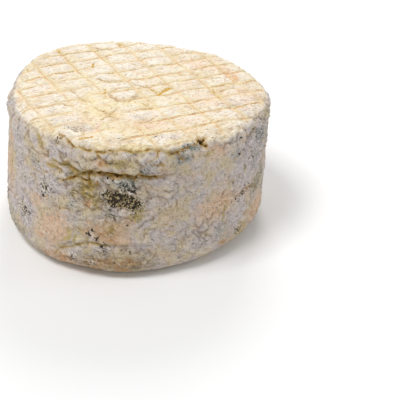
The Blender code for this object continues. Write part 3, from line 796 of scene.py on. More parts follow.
LILAC_WALL = (
    (-126, 64, 15, 12, 0.9), (-138, 34, 18, 12, 0.9), (-116, 91, 16, 5, 0.55), (-101, 76, 5, 3, 0.9),
    (-103, 61, 5, 5, 0.6), (-98, 20, 14, 5, 0.5), (-122, 50, 8, 4, 0.6), (-150, 30, 16, 14, 0.7),
    (-146, 76, 14, 8, 0.7), (-35, 92, 18, 4, 0.6), (-30, 68, 24, 26, 0.9),
)
PEACH = (
    (-158, 57, 14, 22, 0.9), (-122, 32, 15, 15, 0.8), (-130, 46, 10, 7, 0.5), (-118, 12, 14, 5, 0.6),
    (-100, 41, 8, 5, 0.8), (-96, 12, 18, 6, 0.7), (-98, 38, 12, 8, 1), (-107, 36, 6, 5, 0.6),
    (-128, 23, 7, 5, 0.8), (-102.3, 87.2, 4, 2.8, 1.3), (-105.5, 66, 2.6, 3.5, 0.7),
    (-106.2, 58, 3, 5, 1.1), (-120, 79, 6, 2.5, 0.4), (-55, 87, 10, 6, 0.8), (-91, 46, 5, 5, 0.6),
    (-106, 43, 3, 4, 0.5), (-97, 35, 6, 3, 0.8), (-94, 30, 8, 4, 0.8),
)
ORANGE = (
    (-102.2, 87.2, 1.9, 1.7, 1.6), (-126, 8, 10, 2.5, 0.6), (-116, 6, 12, 3, 0.75),
    (-105, 5, 12, 3, 0.65), (-93, 7, 12, 3.5, 0.75), (-106.5, 56.5, 2.6, 4.2, 0.8),
    (-102, 36, 7, 4.5, 0.3), (-97, 31, 7, 2.5, 0.35), (-91, 17, 4, 2.5, 0.5),
    (-129, 91.5, 2.5, 2, 0.55), (-105, 95, 4, 1.4, 0.4), (-116, 11, 4, 3, 0.6),
)
OLIVE = (
    (-107, 67, 5, 8, 1.2), (-103.5, 59, 4, 6, 0.9), (-112, 62, 5, 4, 0.5), (-111, 79, 6, 3, 0.9),
    (-112, 73, 7, 4, 0.6), (-97, 40, 7, 5, 0.55), (-109, 33, 7, 6, 0.5), (-114, 33, 3, 4, 0.6),
    (-95, 88, 12, 4.5, 0.75), (-88, 52, 7, 8, 0.6), (-105, 79, 4, 2, 0.7), (-117, 20, 5, 4, 0.5),
    (-150, 68, 9, 7, 0.4), (-154, 56, 9, 9, 0.45), (-60, 88, 6, 3, 0.6), (-110, 39, 6, 5, 0.4),
    (-165, 84, 9, 7, 0.4), (-122, 78, 5, 3, 0.7), (-106, 21, 4, 4, 0.4), (-75, 92, 9, 4, 0.6),
)
# Places where the wall is simply darker
DARKENED = (
    (-105, 66, 22, 30, 0.6), (-90, 66, 16, 16, 0.55), (-95, 12, 28, 12, 1), (-100, 38, 20, 14, 0.52),
    (-99, 49, 14, 6, 0.5), (-121, 50, 10, 9, 0.5), (-110, 58, 5, 6, 0.5), (-114, 12, 12, 5, 0.45),
    (-75, 80, 22, 8, 0.4),
)
BLOOM = (
    (-96, 76, 5, 2, 0.8), (-91.5, 68, 5, 2, 1), (-101, 70, 2.4, 5, 0.6), (-126, 58, 5, 7, 0.7),
    (-138, 35, 7, 6, 0.5), (-105, 33, 4, 3.5, 0.5), (-112, 15, 3.4, 3, 0.8), (-104, 13, 3, 2.4, 0.7),
    (-101, 45, 2, 6, 0.6), (-103.5, 74.5, 2, 3, 0.9),
)
MOULD = (
    (-94.5, 62, 12, 8, 1.4), (-99.5, 65.5, 6, 4, 0.95), (-90, 59, 7, 6, 1.3), (-92.5, 72, 7, 4.2, 0.95),
    (-98, 77, 6, 3, 0.55), (-87.5, 81.5, 5, 2.6, 0.9), (-105, 36.5, 3.2, 3.5, 0.5),
    (-126, 59, 7, 9, 0.85), (-138, 33, 13, 10, 0.75), (-131, 77, 7, 4, 0.45), (-113, 54, 8, 4, 0.45),
    (-117, 50, 6, 3, 0.5), (-112.3, 15.5, 3.2, 3.2, 0.7), (-104, 13, 2.6, 2.4, 0.7),
    (-96, 12, 8, 4, 0.4), (-64, 97, 5, 2.4, 1), (-70, 95, 7, 3, 0.75), (-21, 79, 5, 8, 0.6),
    (-70, 94, 6, 3, 0.5), (-42, 80, 5, 4, 0.55), (-28, 83, 5, 4, 0.55), (-22, 72, 8, 12, 0.42),
    (-8, 60, 8, 26, 0.42), (-100, 24, 7, 4, 0.42), (-98, 50, 4, 4, 0.45), (-110, 48, 5, 6, 0.3),
    (-121, 92, 8, 4, 0.22), (-84, 88, 5, 3, 0.4), (-92, 93, 9, 3, 0.3), (-92, 44, 5, 4, 0.3),
)

# %% Fields of colour on the wall
FIELD_SEED = 23
HIDDEN_SPOTS = (-58, 196)
# Up to this direction only the wall below this level is hidden
SHOWN_END = -6
SHOWN_LEVEL = 45


def scattered(count, sizes, strengths, seed, levels=(8, 92)):
    """More spots of the same kind for the wall that faces away."""
    draw = random.Random(FIELD_SEED + seed)
    start, end = HIDDEN_SPOTS
    spots = []
    for number in range(count):
        where = start + (end - start) * (number + draw.uniform(0.0, 1.0)) / count
        wide = draw.uniform(*sizes)
        level = draw.uniform(*levels)
        if where < SHOWN_END:
            level = min(level, SHOWN_LEVEL)
        spots.append((where, level, wide, wide * draw.uniform(0.4, 0.9), draw.uniform(*strengths)))
    return tuple(spots)


def field(spots):
    """How strongly any of the spots colours each corner."""
    strongest = np.zeros(len(base))
    for *spot, strength in spots:
        strongest = np.maximum(strongest, strength * swell(from_spot(*spot)))
    return strongest * off_floor * ~is_foot


fields = {
    "slate": field(SLATE + scattered(19, (4, 11), (0.35, 0.75), 1)),
    "lilac": field(LILAC_WALL + scattered(17, (9, 18), (0.5, 1.0), 5)),
    "peach": field(PEACH + scattered(16, (9, 22), (0.4, 0.8), 2)),
    "orange": field(ORANGE + scattered(13, (3, 10), (0.4, 0.8), 6, (6, 14))),
    "olive": np.maximum(field(OLIVE + scattered(18, (6, 15), (0.35, 0.75), 3)), olive_stain),
    "mould": field(MOULD + scattered(34, (3, 9), (0.3, 1.0), 4)),
    "bloom": field(BLOOM + scattered(20, (2, 7), (0.4, 1.0), 8)),
    "darkened": field(DARKENED + scattered(9, (14, 26), (0.3, 0.6), 7)),
}
print("colours on the wall:", ", ".join(fields))

# %% [markdown]
# Black specks are single tufts of mould, a millimetre or two across. Those that show are noted
# one by one, and the far side has as many again. Each is made a little larger than it is seen,
# because the material later draws its ragged edge from the inside.

# %% Black specks
# Each speck: direction, height, half width, half height, strength
SPECKS = (
    (-115.4, 96, 1.3, 1.1, 1), (-115, 94.6, 0.7, 0.8, 0.7), (-117, 94.6, 0.8, 0.6, 0.6),
    (-101.7, 92, 0.6, 0.5, 0.7), (-119.3, 75, 0.6, 0.8, 0.9), (-117.3, 71, 1.1, 0.6, 0.7),
    (-99.3, 74, 1, 0.7, 1), (-97.7, 77.3, 0.7, 1, 0.9), (-96.6, 77, 0.6, 1, 0.9),
    (-99.8, 78.5, 0.6, 0.8, 0.7), (-91.8, 71, 1.4, 1.1, 1), (-95, 72.5, 0.6, 0.7, 0.8),
    (-97.5, 66.3, 1.2, 0.7, 1), (-101.7, 63.5, 0.8, 0.9, 0.9), (-114.5, 63, 0.7, 0.7, 0.7),
    (-111.7, 64, 0.8, 0.8, 0.6), (-118.2, 50, 0.6, 0.8, 0.7), (-115, 53, 0.8, 0.7, 0.6),
    (-109, 50.3, 0.5, 0.6, 0.6), (-96.3, 48.9, 0.8, 0.6, 0.9), (-95.6, 47.8, 0.5, 0.8, 0.8),
    (-91.5, 43.8, 0.8, 1, 0.7), (-106.2, 36, 1, 0.9, 1), (-104.6, 38, 0.7, 1.1, 1),
    (-105.2, 34.6, 0.8, 0.8, 0.95), (-102.7, 33.6, 0.8, 1, 1), (-102.5, 31.8, 0.7, 0.7, 0.9),
    (-100.9, 27.4, 1, 0.8, 1), (-100, 30.8, 0.5, 0.8, 0.6), (-99.6, 24.6, 0.6, 0.8, 0.8),
    (-104.4, 21.3, 0.5, 0.7, 0.7), (-97.4, 17.5, 0.6, 1, 0.7), (-97.2, 20.6, 1, 0.4, 0.6),
    (-90.2, 23, 0.6, 0.8, 0.7), (-93.5, 23.8, 0.5, 0.6, 0.6), (-103.8, 12.9, 1, 1, 1),
    (-104.7, 14.3, 0.6, 0.7, 0.7), (-105.2, 8, 1, 0.8, 0.9), (-111.5, 13.2, 1, 0.8, 1),
    (-113, 13.6, 0.8, 0.7, 0.8), (-112.7, 17.7, 1, 0.6, 0.6), (-114, 14.8, 0.5, 0.8, 0.5),
    (-98.3, 11.5, 0.6, 0.5, 0.7), (-99.5, 9, 0.7, 0.7, 0.7), (-126.3, 54.2, 1.3, 0.8, 0.85),
    (-127.8, 63.7, 0.9, 0.5, 0.7), (-124.4, 64.3, 0.9, 0.5, 0.7), (-125.5, 61.6, 0.8, 0.5, 0.6),
    (-126.3, 60.5, 0.7, 0.5, 0.5), (-124.7, 55.8, 0.5, 1, 0.6), (-121.9, 55, 0.5, 2, 0.4),
    (-131.9, 43.2, 0.8, 0.9, 0.7), (-131.9, 41, 0.7, 0.5, 0.5), (-127.6, 38.6, 0.7, 1, 0.45),
    (-133.4, 86, 0.9, 0.5, 0.6), (-129.9, 56.3, 0.8, 0.6, 0.5), (-140.3, 37.3, 1.2, 0.6, 0.6),
    (-136.8, 33.3, 1, 0.8, 0.7), (-139.6, 33.5, 1, 0.6, 0.5), (-141.7, 34, 1, 0.5, 0.4),
    (-134.5, 27, 0.8, 0.6, 0.5), (-138.5, 31.2, 0.9, 0.5, 0.5), (-131.7, 31, 0.7, 0.7, 0.4),
    (-142, 28, 0.9, 0.4, 0.4), (-151.8, 17.5, 1.6, 0.7, 0.6), (-61.6, 97, 1.4, 1.2, 1),
    (-56.3, 96.7, 0.8, 0.5, 0.8), (-42.2, 80.2, 1, 1, 0.9), (-40.8, 79, 1.2, 0.7, 0.6),
    (-27.9, 83.7, 1.2, 0.8, 0.8), (-30, 92, 0.7, 0.9, 0.9), (-25, 90.5, 0.6, 1, 0.9),
    (-21, 87, 0.7, 0.8, 0.9), (-18, 91, 0.6, 0.7, 0.8), (-34, 88, 0.8, 0.7, 0.7),
    (-15, 84, 0.8, 1.2, 0.8), (-24, 79, 0.7, 1, 0.9), (-19, 77, 0.6, 1.2, 0.8),
    (-37, 94, 0.6, 0.6, 0.8), (-29, 76, 0.7, 0.8, 0.7), (-91.5, 61, 1, 1.4, 0.8),
    (-90, 58, 1.2, 1.2, 0.8), (-90.5, 70, 2.2, 1, 1), (-94, 70.5, 1.2, 0.8, 0.9),
    (-101, 6.5, 0.9, 0.7, 0.9), (-96, 7.5, 0.8, 0.6, 0.8), (-93, 9, 0.7, 0.7, 0.8),
    (-109, 7, 0.7, 0.6, 0.8),
)
HIDDEN_SPECKS = 110
SPECK_MARGIN = 0.8
speck_draw = random.Random(FIELD_SEED + 9)
# Direction, height, half width, half height and strength of a hidden speck
SPECK_LIMITS = ((-50, 196), (7, 95), (0.5, 1.1), (0.5, 1.1), (0.4, 1.0))
specks = list(SPECKS)
for number in range(HIDDEN_SPECKS):
    specks.append([speck_draw.uniform(*limit) for limit in SPECK_LIMITS])
speck = np.zeros(len(base))
for where, level, half_width, half_height, strength in specks:
    across = turned(direction, where) * ARC / (half_width + SPECK_MARGIN)
    up = (climbed - climb_at(level)) / (half_height + SPECK_MARGIN)
    speck = np.maximum(speck, strength * swell(np.hypot(across, up)) * side)
print("specks:", len(specks))

# %% [markdown]
# The top has fewer colours: butter where it is fat, blush where the young rind shows, lilac
# and white where mould blooms, and rust along a few cracks. Its spots are given by x and y.

# %% Spots of colour on the top
# Each spot, and each speck: x, y, half width, half length, strength
LILAC_TOP = (
    (-50, -66, 13, 9, 0.9), (-38, -73, 11, 7, 1), (-12, -88, 9, 5, 0.9), (19, -83, 11, 4, 1),
    (72, -26, 14, 12, 0.7), (2, -53, 9, 5, 0.7), (-58, -47, 10, 5, 0.5), (80, -48, 10, 18, 0.8),
    (50, 0, 9, 6, 0.3), (-30, 72, 8, 5, 0.4), (-8, 0, 6, 4, 0.5), (-72, 50, 10, 6, 0.5),
    (86, -16, 9, 30, 0.6), (25, 82, 30, 6, 0.4), (-62, 28, 16, 6, 0.35), (-10, 84, 16, 5, 0.5),
    (-56, 72, 8, 5, 0.5),
)
BUTTER = (
    (-26, -40, 26, 24, 0.65), (-56, -70, 9, 6, 1), (-66, -66, 7, 6, 0.8), (10, -28, 24, 16, 0.6),
    (-10, -72, 44, 16, 0.9), (40, -70, 30, 14, 0.5), (-85, 26, 6, 6, 0.8), (4, -98, 34, 5, 0.8),
    (86, -14, 10, 20, 0.9), (50, -75, 18, 6, 0.4), (8, 20, 8, 6, 0.6), (-40, 4, 20, 10, 0.3),
    (17, -8, 9, 7, 0.5),
)
BLUSH = (
    (70, 30, 9, 12, 0.8), (73, 20, 4, 7, 1.2), (52, 48, 22, 18, 0.6), (30, 56, 8, 6, 0.5),
    (-70, -8, 16, 26, 0.4), (-27, -73, 4, 8, 0.9), (26, -62, 5, 12, 0.7), (56, -20, 30, 26, 0.45),
    (82, -16, 12, 22, 0.9), (-62, 44, 20, 12, 0.35), (-84, -26, 5, 6, 0.7), (40, 10, 26, 20, 0.3),
    (20, -62, 44, 20, 0.6), (-40, -62, 26, 16, 0.4),
)
TOP_MOULD = (
    (-42, -75, 11, 5, 0.84), (-55, -62, 6, 3, 0.6), (-12, -88, 7, 3.5, 0.65), (-50.5, -85, 6, 2.4, 0.8),
    (18, -85, 9, 3, 0.6), (66, -27, 10, 5, 0.62), (55, -33, 7, 3, 0.55), (86, -30, 8, 20, 0.42),
    (-84, 6, 4, 6, 0.3), (-46, 20, 5, 3, 0.36), (6, 8, 6, 3, 0.36), (2, -52, 5, 3, 0.5),
)
TOP_BLOOM = (
    (-15, 42, 42, 30, 0.75), (-8, 4, 20, 7, 0.9), (0, 82, 66, 14, 0.75), (16, 36, 12, 8, 0.6),
    (-10, -15, 10, 9, 0.9),
)
ORANGE_TOP = (
    (75, 23, 2.2, 3.4, 0.8), (27, 55, 1.4, 4, 0.7), (59, -12, 1.3, 4, 0.5), (-34, -86, 5, 1.4, 0.6),
    (-26, -73, 1.4, 5, 0.5), (27, -60, 1.4, 5, 0.5), (-38, 31, 4, 1.2, 0.5),
)
TOP_SPECKS = (
    (-51.5, -84, 1.8, 0.9, 0.8), (-48.5, -86, 1.2, 0.8, 0.8), (-54, -82.5, 1.2, 0.8, 0.6),
    (13, -83, 1.4, 1.3, 0.9), (25, -82, 1.3, 1.3, 0.8), (52, -78, 1.2, 1.7, 0.9),
    (48, 15.5, 0.6, 1.2, 0.75), (44, 1, 1, 1.4, 0.5), (48, 5, 0.7, 1, 0.5), (79, -2, 0.7, 1.6, 0.8),
    (1.5, -3.5, 0.6, 1.6, 0.9), (-27, 32, 0.9, 1.2, 0.5), (-4, -36, 0.8, 0.8, 0.6),
    (-7.5, -99, 1.2, 1.3, 0.8), (48, -38, 0.9, 1.4, 0.6), (60, 41, 0.7, 0.7, 0.3),
    (-87, 5, 0.8, 1.2, 0.4), (-60, 24, 0.9, 0.9, 0.4), (50, 61, 0.7, 1, 0.4), (65, -27, 1, 1, 0.6),
    (70, -27, 0.8, 1.2, 0.55), (51, -34, 1, 1.2, 0.6), (66, -33, 1.2, 0.7, 0.5),
    (-38, -77, 1.2, 0.9, 0.6), (-34, -77, 1, 0.8, 0.6), (-46, -72, 1, 0.7, 0.4),
    (90, -19, 0.9, 1.1, 0.6),
)
TOP_SPECK_MARGIN = 0.45
# A rusty crease at the right: its points, half width, strength
RUSTY_RUN = (((63.5, 39), (67, 35), (70, 31), (73.5, 26), (77, 20)), 1.5, 0.45)


def top_field(spots, margin=0.0):
    """How strongly any of the spots colours each corner near the top."""
    strongest = np.zeros(len(base))
    for x, y, half_width, half_length, strength in spots:
        away = np.hypot((base[:, 0] - x) / (half_width + margin), (base[:, 1] - y) / (half_length + margin))
        strongest = np.maximum(strongest, strength * swell(away))
    return strongest * near_top


on_skin = height > SKIN_FADE[0]
run, width, strength = RUSTY_RUN
rusty = distance_to_run(base[:, 0] + FURROW_WOBBLE * wobble, base[:, 1], run)
rusty = strength * swell(rusty, width) * near_top
fields.update({
    "lilac": np.where(on_skin, top_field(LILAC_TOP), fields["lilac"]),
    "bloom": np.where(on_skin, top_field(TOP_BLOOM), fields["bloom"]),
    "orange": np.maximum(fields["orange"], np.maximum(top_field(ORANGE_TOP), rusty)),
    "mould": np.maximum(fields["mould"] * (1.0 - skin_top), top_field(TOP_MOULD)),
    "speck": np.maximum(speck, top_field(TOP_SPECKS, TOP_SPECK_MARGIN)),
    "butter": top_field(BUTTER),
    "blush": top_field(BLUSH),
    "steep_thread": np.where(is_foot, foot_steep, steep),
    "flat_thread": np.where(is_foot, foot_flat, flat),
    "steep_depth": np.where(is_foot, foot_depth, steep_depth),
    "flat_depth": np.where(is_foot, foot_depth, flat_depth),
    "skin_top": np.maximum(skin_top, smoothstep(3.0, 0.5, height)),
    "furrow_away": np.where(is_foot, FAR_FROM_CREASE, furrow_away),
    "cut_stain": cut_stain,
    "crease_away": crease_away,
    "crease_dark": crease_dark,
    "crack_stain": crack_stain,
    "fine": fine,
})
for name, values in fields.items():
    layer = wheel.data.attributes.new(name, "FLOAT", "POINT")
    layer.data.foreach_set("value", np.ascontiguousarray(values, dtype=np.float32))
print("fields:", ", ".join(fields))

# %% [markdown]
# ## The material: natural rind
#
# A natural rind is dried paste grown over with mould. It is matt and slightly waxy, lets a
# little light in, and every colour on it has a ragged edge. One Principled shader carries it.
# The colour is built in two chains, one for the cream skin of the faces and one for the crust
# of the wall, and the field called skin_top fades one into the other. Each field is broken up
# with noise before it is used, because a soft round spot would look airbrushed.

# %% Helpers for colours and nodes
def linear(code):
    """An sRGB hex colour as linear RGBA."""
    colour = []
    for start in (1, 3, 5):
        part = int(code[start:start + 2], 16) / 255.0
        colour.append(part / 12.92 if part <= 0.04045 else ((part + 0.055) / 1.055) ** 2.4)
    return (*colour, 1.0)


rind = bpy.data.materials.new("natural_rind")
rind.use_nodes = True
tree = rind.node_tree
tree.nodes.clear()


def add(kind, sockets=(), out=0, **settings):
    """Add one shader node, with its settings and its sockets by order or by name."""
    new = tree.nodes.new("ShaderNode" + kind)
    for name, value in settings.items():
        setattr(new, name, value)
    for name, value in sockets.items() if isinstance(sockets, dict) else enumerate(sockets):
        if isinstance(value, bpy.types.NodeSocket):
            tree.links.new(value, new.inputs[name])
        else:
            new.inputs[name].default_value = value
    return new.outputs[out] if new.outputs else new


# %% [markdown]
# Noise gives the broken edges and the grain. Each pattern is set by the real size of its lumps
# in millimetres along x, y and z, and by how much smaller detail it carries. A Mapping node of
# the Texture type divides by that size and turns the pattern, so the wrinkles of the top can
# run along the threads and the hairs of mould can lie aslant. The hairs and the finest grain of
# a rind are about a quarter of a millimetre. They are drawn at about one millimetre, because
# the render could not show them finer.

# %% Noise at the sizes the rind shows
LEVEL = (0.0, 0.0, 0.0)
ASLANT = (0.0, math.radians(24.0), 0.0)
ALONG_THREADS = (0.0, 0.0, math.radians(PRINT_DIRECTION))
# Each pattern: size in mm, turn, detail, roughness
PATTERNS = {
    "drift": ((30, 30, 26), LEVEL, 3, 0.5),
    "cloud": ((13, 13, 11), LEVEL, 3, 0.55),
    "patch": ((8.5, 8.5, 7.5), LEVEL, 3, 0.55),
    "mottle": ((4.2, 4.2, 3.8), LEVEL, 3, 0.55),
    "crumple": ((5.2, 5.2, 4.4), LEVEL, 2, 0.55),
    "fleck": ((1.6, 1.6, 1.6), LEVEL, 2, 0.6),
    "dust": ((0.9, 0.9, 0.9), LEVEL, 0, 0.5),
    "hair": ((2.6, 2.6, 0.8), ASLANT, 1, 0.5),
    "tuft": ((1.2, 1.2, 1.5), LEVEL, 2, 0.5),
    "wrinkle": ((7.0, 1.8, 7.0), ALONG_THREADS, 2, 0.6),
    "rumple": ((3.4, 2.6, 3.4), ALONG_THREADS, 2, 0.6),
}
# Each pattern is cut from the noise at its own depth, so that no two are alike
PATTERN_STEP = 3.7
object_place = add("TexCoord", out="Object")
pattern = {}
for number, (name, (size, turn, detail, rough)) in enumerate(PATTERNS.items()):
    sockets = {"Vector": object_place, "Rotation": turn, "Scale": [length * MM for length in size]}
    stretched = add("Mapping", sockets, vector_type="TEXTURE")
    sockets = {"Vector": stretched, "W": PATTERN_STEP * number, "Scale": 1.0}
    sockets.update({"Detail": detail, "Roughness": rough})
    pattern[name] = add("TexNoise", sockets, noise_dimensions="4D")
field_of = {name: add("Attribute", out="Fac", attribute_name=name) for name in fields}
print("patterns:", len(pattern), "fields:", len(field_of))

# %% [markdown]
# A crease is where noise crosses its middle value: the distance from the middle, doubled, is
# near 0 in the crease and grows on both sides. The same number paints shade into the crease and
# lowers the bump, so the painted shade and the relief agree. The fields of colour are multiplied
# by the sum of three noises, which leaves their middles alone and tears their edges.

# %% Creases, ragged fields and recipes
SOFT, EVEN = "SMOOTHSTEP", "LINEAR"
NOISE_SPREAD = (0.3, 0.7)
RAGGED_FIELDS = ("slate", "lilac", "peach", "orange", "olive", "bloom", "darkened", "butter", "blush")

valley = {}
for name in ("crumple", "wrinkle", "rumple"):
    off_middle = add("Math", (add("Math", (pattern[name], 0.5), operation="SUBTRACT"),), operation="ABSOLUTE")
    valley[name] = add("Math", (off_middle, 2.0), operation="MULTIPLY")
noises = add("Math", (pattern["mottle"], pattern["cloud"]), operation="ADD")
noises = add("Math", (noises, pattern["fleck"]), operation="ADD")
uneven_edge = add("MapRange", (noises, 1.2, 1.8, 0.2, 1.8))
ragged = {name: add("Math", (field_of[name], uneven_edge), operation="MULTIPLY") for name in RAGGED_FIELDS}


def both(*parts):
    """Where two things are both seen: each is a source, how it fades in, and its limits."""
    amounts = [add("MapRange", (source, *limits), interpolation_type=way) for source, way, *limits in parts]
    return add("Math", amounts, operation="MULTIPLY")


def shaken(distance, by):
    """A distance that the finest noise shakes by up to the given amount."""
    shake = add("MapRange", (pattern["fleck"], *NOISE_SPREAD, -by, by))
    return add("Math", (distance, shake), operation="ADD")


def laid_over(below, layers):
    """Lay colours over one another. Each layer: source, its limits, colour, and how it is laid.

    The colour fades in as the source goes from the first limit to the second, from the third
    amount to the fourth. Without limits the source is the amount itself.
    """
    for source, limits, colour, how in layers:
        amount = add("MapRange", (source, *limits), interpolation_type=SOFT) if limits else source
        below = add("Mix", {0: amount, 6: below, 7: colour}, out=2, data_type="RGBA", blend_type=how)
    return below


# %% [markdown]
# The wall first. The bare crust is tan. Over it lie soft patches a centimetre or so across:
# lilac-grey mould, peach where the crust is thin, olive where fat wept out, slate felt, and
# places that are simply darker. Only after them comes the fine detail: pale puffs, partly a
# painted highlight on the raised crumples, painted shade in the hollows and creases of the
# relief, flecks, hairs and dust. From arm's length a rind looks like soft patches, so the detail
# is never stronger than they are. Painted shade and darker tones multiply what is there instead
# of covering it, so a crease in peach stays peach.

# %% Colours of the wall
CRUST_TAN = linear("#cebd99")
LILAC_BLOOM = linear("#c9c0c1")
PEACH_RIND = linear("#d8b798")
ORANGE_RIND = linear("#cb9a66")
OLIVE_FAT = linear("#b9a55a")
SLATE_FELT = linear("#9a9c99")
# Young bloom; where the relief stands up it is also a painted highlight
YOUNG_BLOOM_AND_HIGHLIGHT = linear("#e6ddd2")
# Painted shade for the hollows and creases of the relief, also used for darker mottling
CREASE_SHADE_AND_MOTTLE = linear("#a9967b")
DEEP_SHADE = linear("#685b47")
HAIR_SHADE = linear("#747270")
# The tone that makes those places darker
DARKENED_TONE = linear("#cfc298")
# Mould counts this much beside the noise that breaks up its hairs
HAIRY_SHARE = 0.45

hairy = add("Math", (field_of["mould"], HAIRY_SHARE, pattern["cloud"]), operation="MULTIPLY_ADD")
hairy = (hairy, SOFT, 0.48, 0.82, 0.1, 0.95)
dark_hair = both((pattern["hair"], SOFT, 0.46, 0.36, 0.0, 1.0), hairy)
pale_hair = both((pattern["hair"], SOFT, 0.53, 0.63, 0.0, 0.5), hairy)
# Painted shade in the valleys of the crumple, where its bump is lowest
crease_shade_seen = both((valley["crumple"], SOFT, 0.07, 0.0, 0.0, 0.6), (pattern["mottle"], SOFT, 0.45, 0.6))
off_peach = (field_of["peach"], EVEN, 0.0, 0.7, 0.6, 0.15)
dust_seen = both((pattern["dust"], SOFT, 0.33, 0.23, 0.0, 0.8), off_peach)
wall = laid_over(CRUST_TAN, (
    (pattern["cloud"], (0.38, 0.58, 0.15, 0.9), LILAC_BLOOM, "MIX"),
    (pattern["patch"], (0.5, 0.68, 0.0, 0.4), PEACH_RIND, "MIX"),
    (pattern["patch"], (0.48, 0.32, 0.0, 0.18), OLIVE_FAT, "MIX"),
    (ragged["lilac"], (0.1, 0.6, 0.0, 0.85), LILAC_BLOOM, "MIX"),
    (ragged["peach"], (0.1, 0.6, 0.0, 0.95), PEACH_RIND, "MIX"),
    (ragged["orange"], (0.1, 0.7, 0.0, 0.95), ORANGE_RIND, "MIX"),
    (ragged["olive"], (0.12, 0.75, 0.0, 0.9), OLIVE_FAT, "MIX"),
    (ragged["slate"], (0.12, 0.65, 0.0, 0.75), SLATE_FELT, "MIX"),
    (ragged["darkened"], (0.15, 0.8, 0.0, 0.9), DARKENED_TONE, "MULTIPLY"),
    (pattern["mottle"], (0.5, 0.7, 0.0, 0.4), YOUNG_BLOOM_AND_HIGHLIGHT, "MIX"),
    # Painted highlight: the raised crumples of the relief are made paler
    (field_of["fine"], (0.0, 0.7, 0.0, 0.3), YOUNG_BLOOM_AND_HIGHLIGHT, "MIX"),
    (pattern["mottle"], (0.48, 0.32, 0.0, 0.3), CREASE_SHADE_AND_MOTTLE, "MULTIPLY"),
    # Painted shade: the hollows and the creases of the relief are made darker
    (field_of["fine"], (-0.25, -1.1, 0.0, 0.55), CREASE_SHADE_AND_MOTTLE, "MULTIPLY"),
    (crease_shade_seen, (), CREASE_SHADE_AND_MOTTLE, "MULTIPLY"),
    (pattern["fleck"], (0.56, 0.72, 0.0, 0.35), YOUNG_BLOOM_AND_HIGHLIGHT, "MIX"),
    (pattern["fleck"], (0.46, 0.3, 0.0, 0.4), CREASE_SHADE_AND_MOTTLE, "MULTIPLY"),
    (pale_hair, (), YOUNG_BLOOM_AND_HIGHLIGHT, "MIX"),
    (dark_hair, (), HAIR_SHADE, "MULTIPLY"),
    (dust_seen, (), DEEP_SHADE, "MULTIPLY"),
))
print("wall so far:", len(tree.nodes), "nodes")

# %% [markdown]
# Old mould is a tan or slate ground with cream strands and black tufts on it. The tufts are
# peaks of a fine noise, and where the field is strong more of each peak shows, so that they
# crowd together in the middle of a patch and thin out at its edge. Specks are made the same
# way. Young white bloom grows between them.

# %% Tufts, strands and specks
TUFT_BLACK = linear("#231b11")
TUFT_SLATE = linear("#37403f")
MOULD_TAN = linear("#8b7543")
STRAND_CREAM = linear("#dccdb0")
SLATE_DEEP = linear("#6c7469")
# The edge of a tuft and of a speck: the limits of its peak, then its least and full amount
TUFT_RISE = (-0.015, 0.035, 0.0, 0.95)
SPECK_RISE = (-0.03, 0.03, 0.0, 0.95)
# Slate felt hides this share of the tan ground
SLATE_HIDES = -0.8

tuft_edge = add("MapRange", (field_of["mould"], 0.0, 1.0, 0.74, 0.46))
tuft_peak = add("Math", (pattern["tuft"], tuft_edge), operation="SUBTRACT")
tuft_colour = laid_over(TUFT_BLACK, ((ragged["slate"], (0.2, 0.5, 0.0, 1.0), TUFT_SLATE, "MIX"),))
speck_edge = add("MapRange", (field_of["speck"], 0.1, 1.0, 0.75, 0.38))
speck_peak = add("Math", (pattern["tuft"], speck_edge), operation="SUBTRACT")
tan_ground = add("Math", (field_of["slate"], SLATE_HIDES, field_of["mould"]), operation="MULTIPLY_ADD")
strands = both((pattern["hair"], SOFT, 0.53, 0.59, 0.0, 0.62), (field_of["mould"], EVEN, 0.6, 1.1))
bloom_seen = both((ragged["bloom"], SOFT, 0.1, 0.9, 0.0, 0.75), (pattern["tuft"], SOFT, 0.6, 0.42))
wall = laid_over(wall, (
    (tan_ground, (0.5, 1.05, 0.0, 0.88), MOULD_TAN, "MIX"),
    (ragged["slate"], (0.75, 1.25, 0.0, 0.8), SLATE_DEEP, "MIX"),
    (strands, (), STRAND_CREAM, "MIX"),
    (tuft_peak, TUFT_RISE, tuft_colour, "MIX"),
    (bloom_seen, (), YOUNG_BLOOM_AND_HIGHLIGHT, "MIX"),
    (speck_peak, SPECK_RISE, TUFT_BLACK, "MIX"),
))
print("wall:", len(tree.nodes), "nodes")

# %% [markdown]
# Now the faces. Cream drifts to butter yellow and to a faint blush. The middle of a cell stands
# up as a pillow and has a painted highlight that makes it paler, with a breath of lilac-grey
# mould. The threads left thin tan lines with a buttery band beside them; the tan is partly stain
# and partly painted shadow in the groove. The thread numbers give the distance to the nearest
# line in millimetres. Noise shakes it a little and breaks the line up, so that it is as uneven as
# the real one. On the face the line lies just behind the middle of the groove, where the next
# cell overhangs and would shade it.

# %% Lines of the print
# Each set: name, threads, how far the line lies off the groove's middle, its half width
PRINT_LINES = (("flat", TOP_PRINT[1], 0.45, 0.75), ("steep", TOP_PRINT[0], 0.0, 0.8))
LINE_SHAKE = 0.45

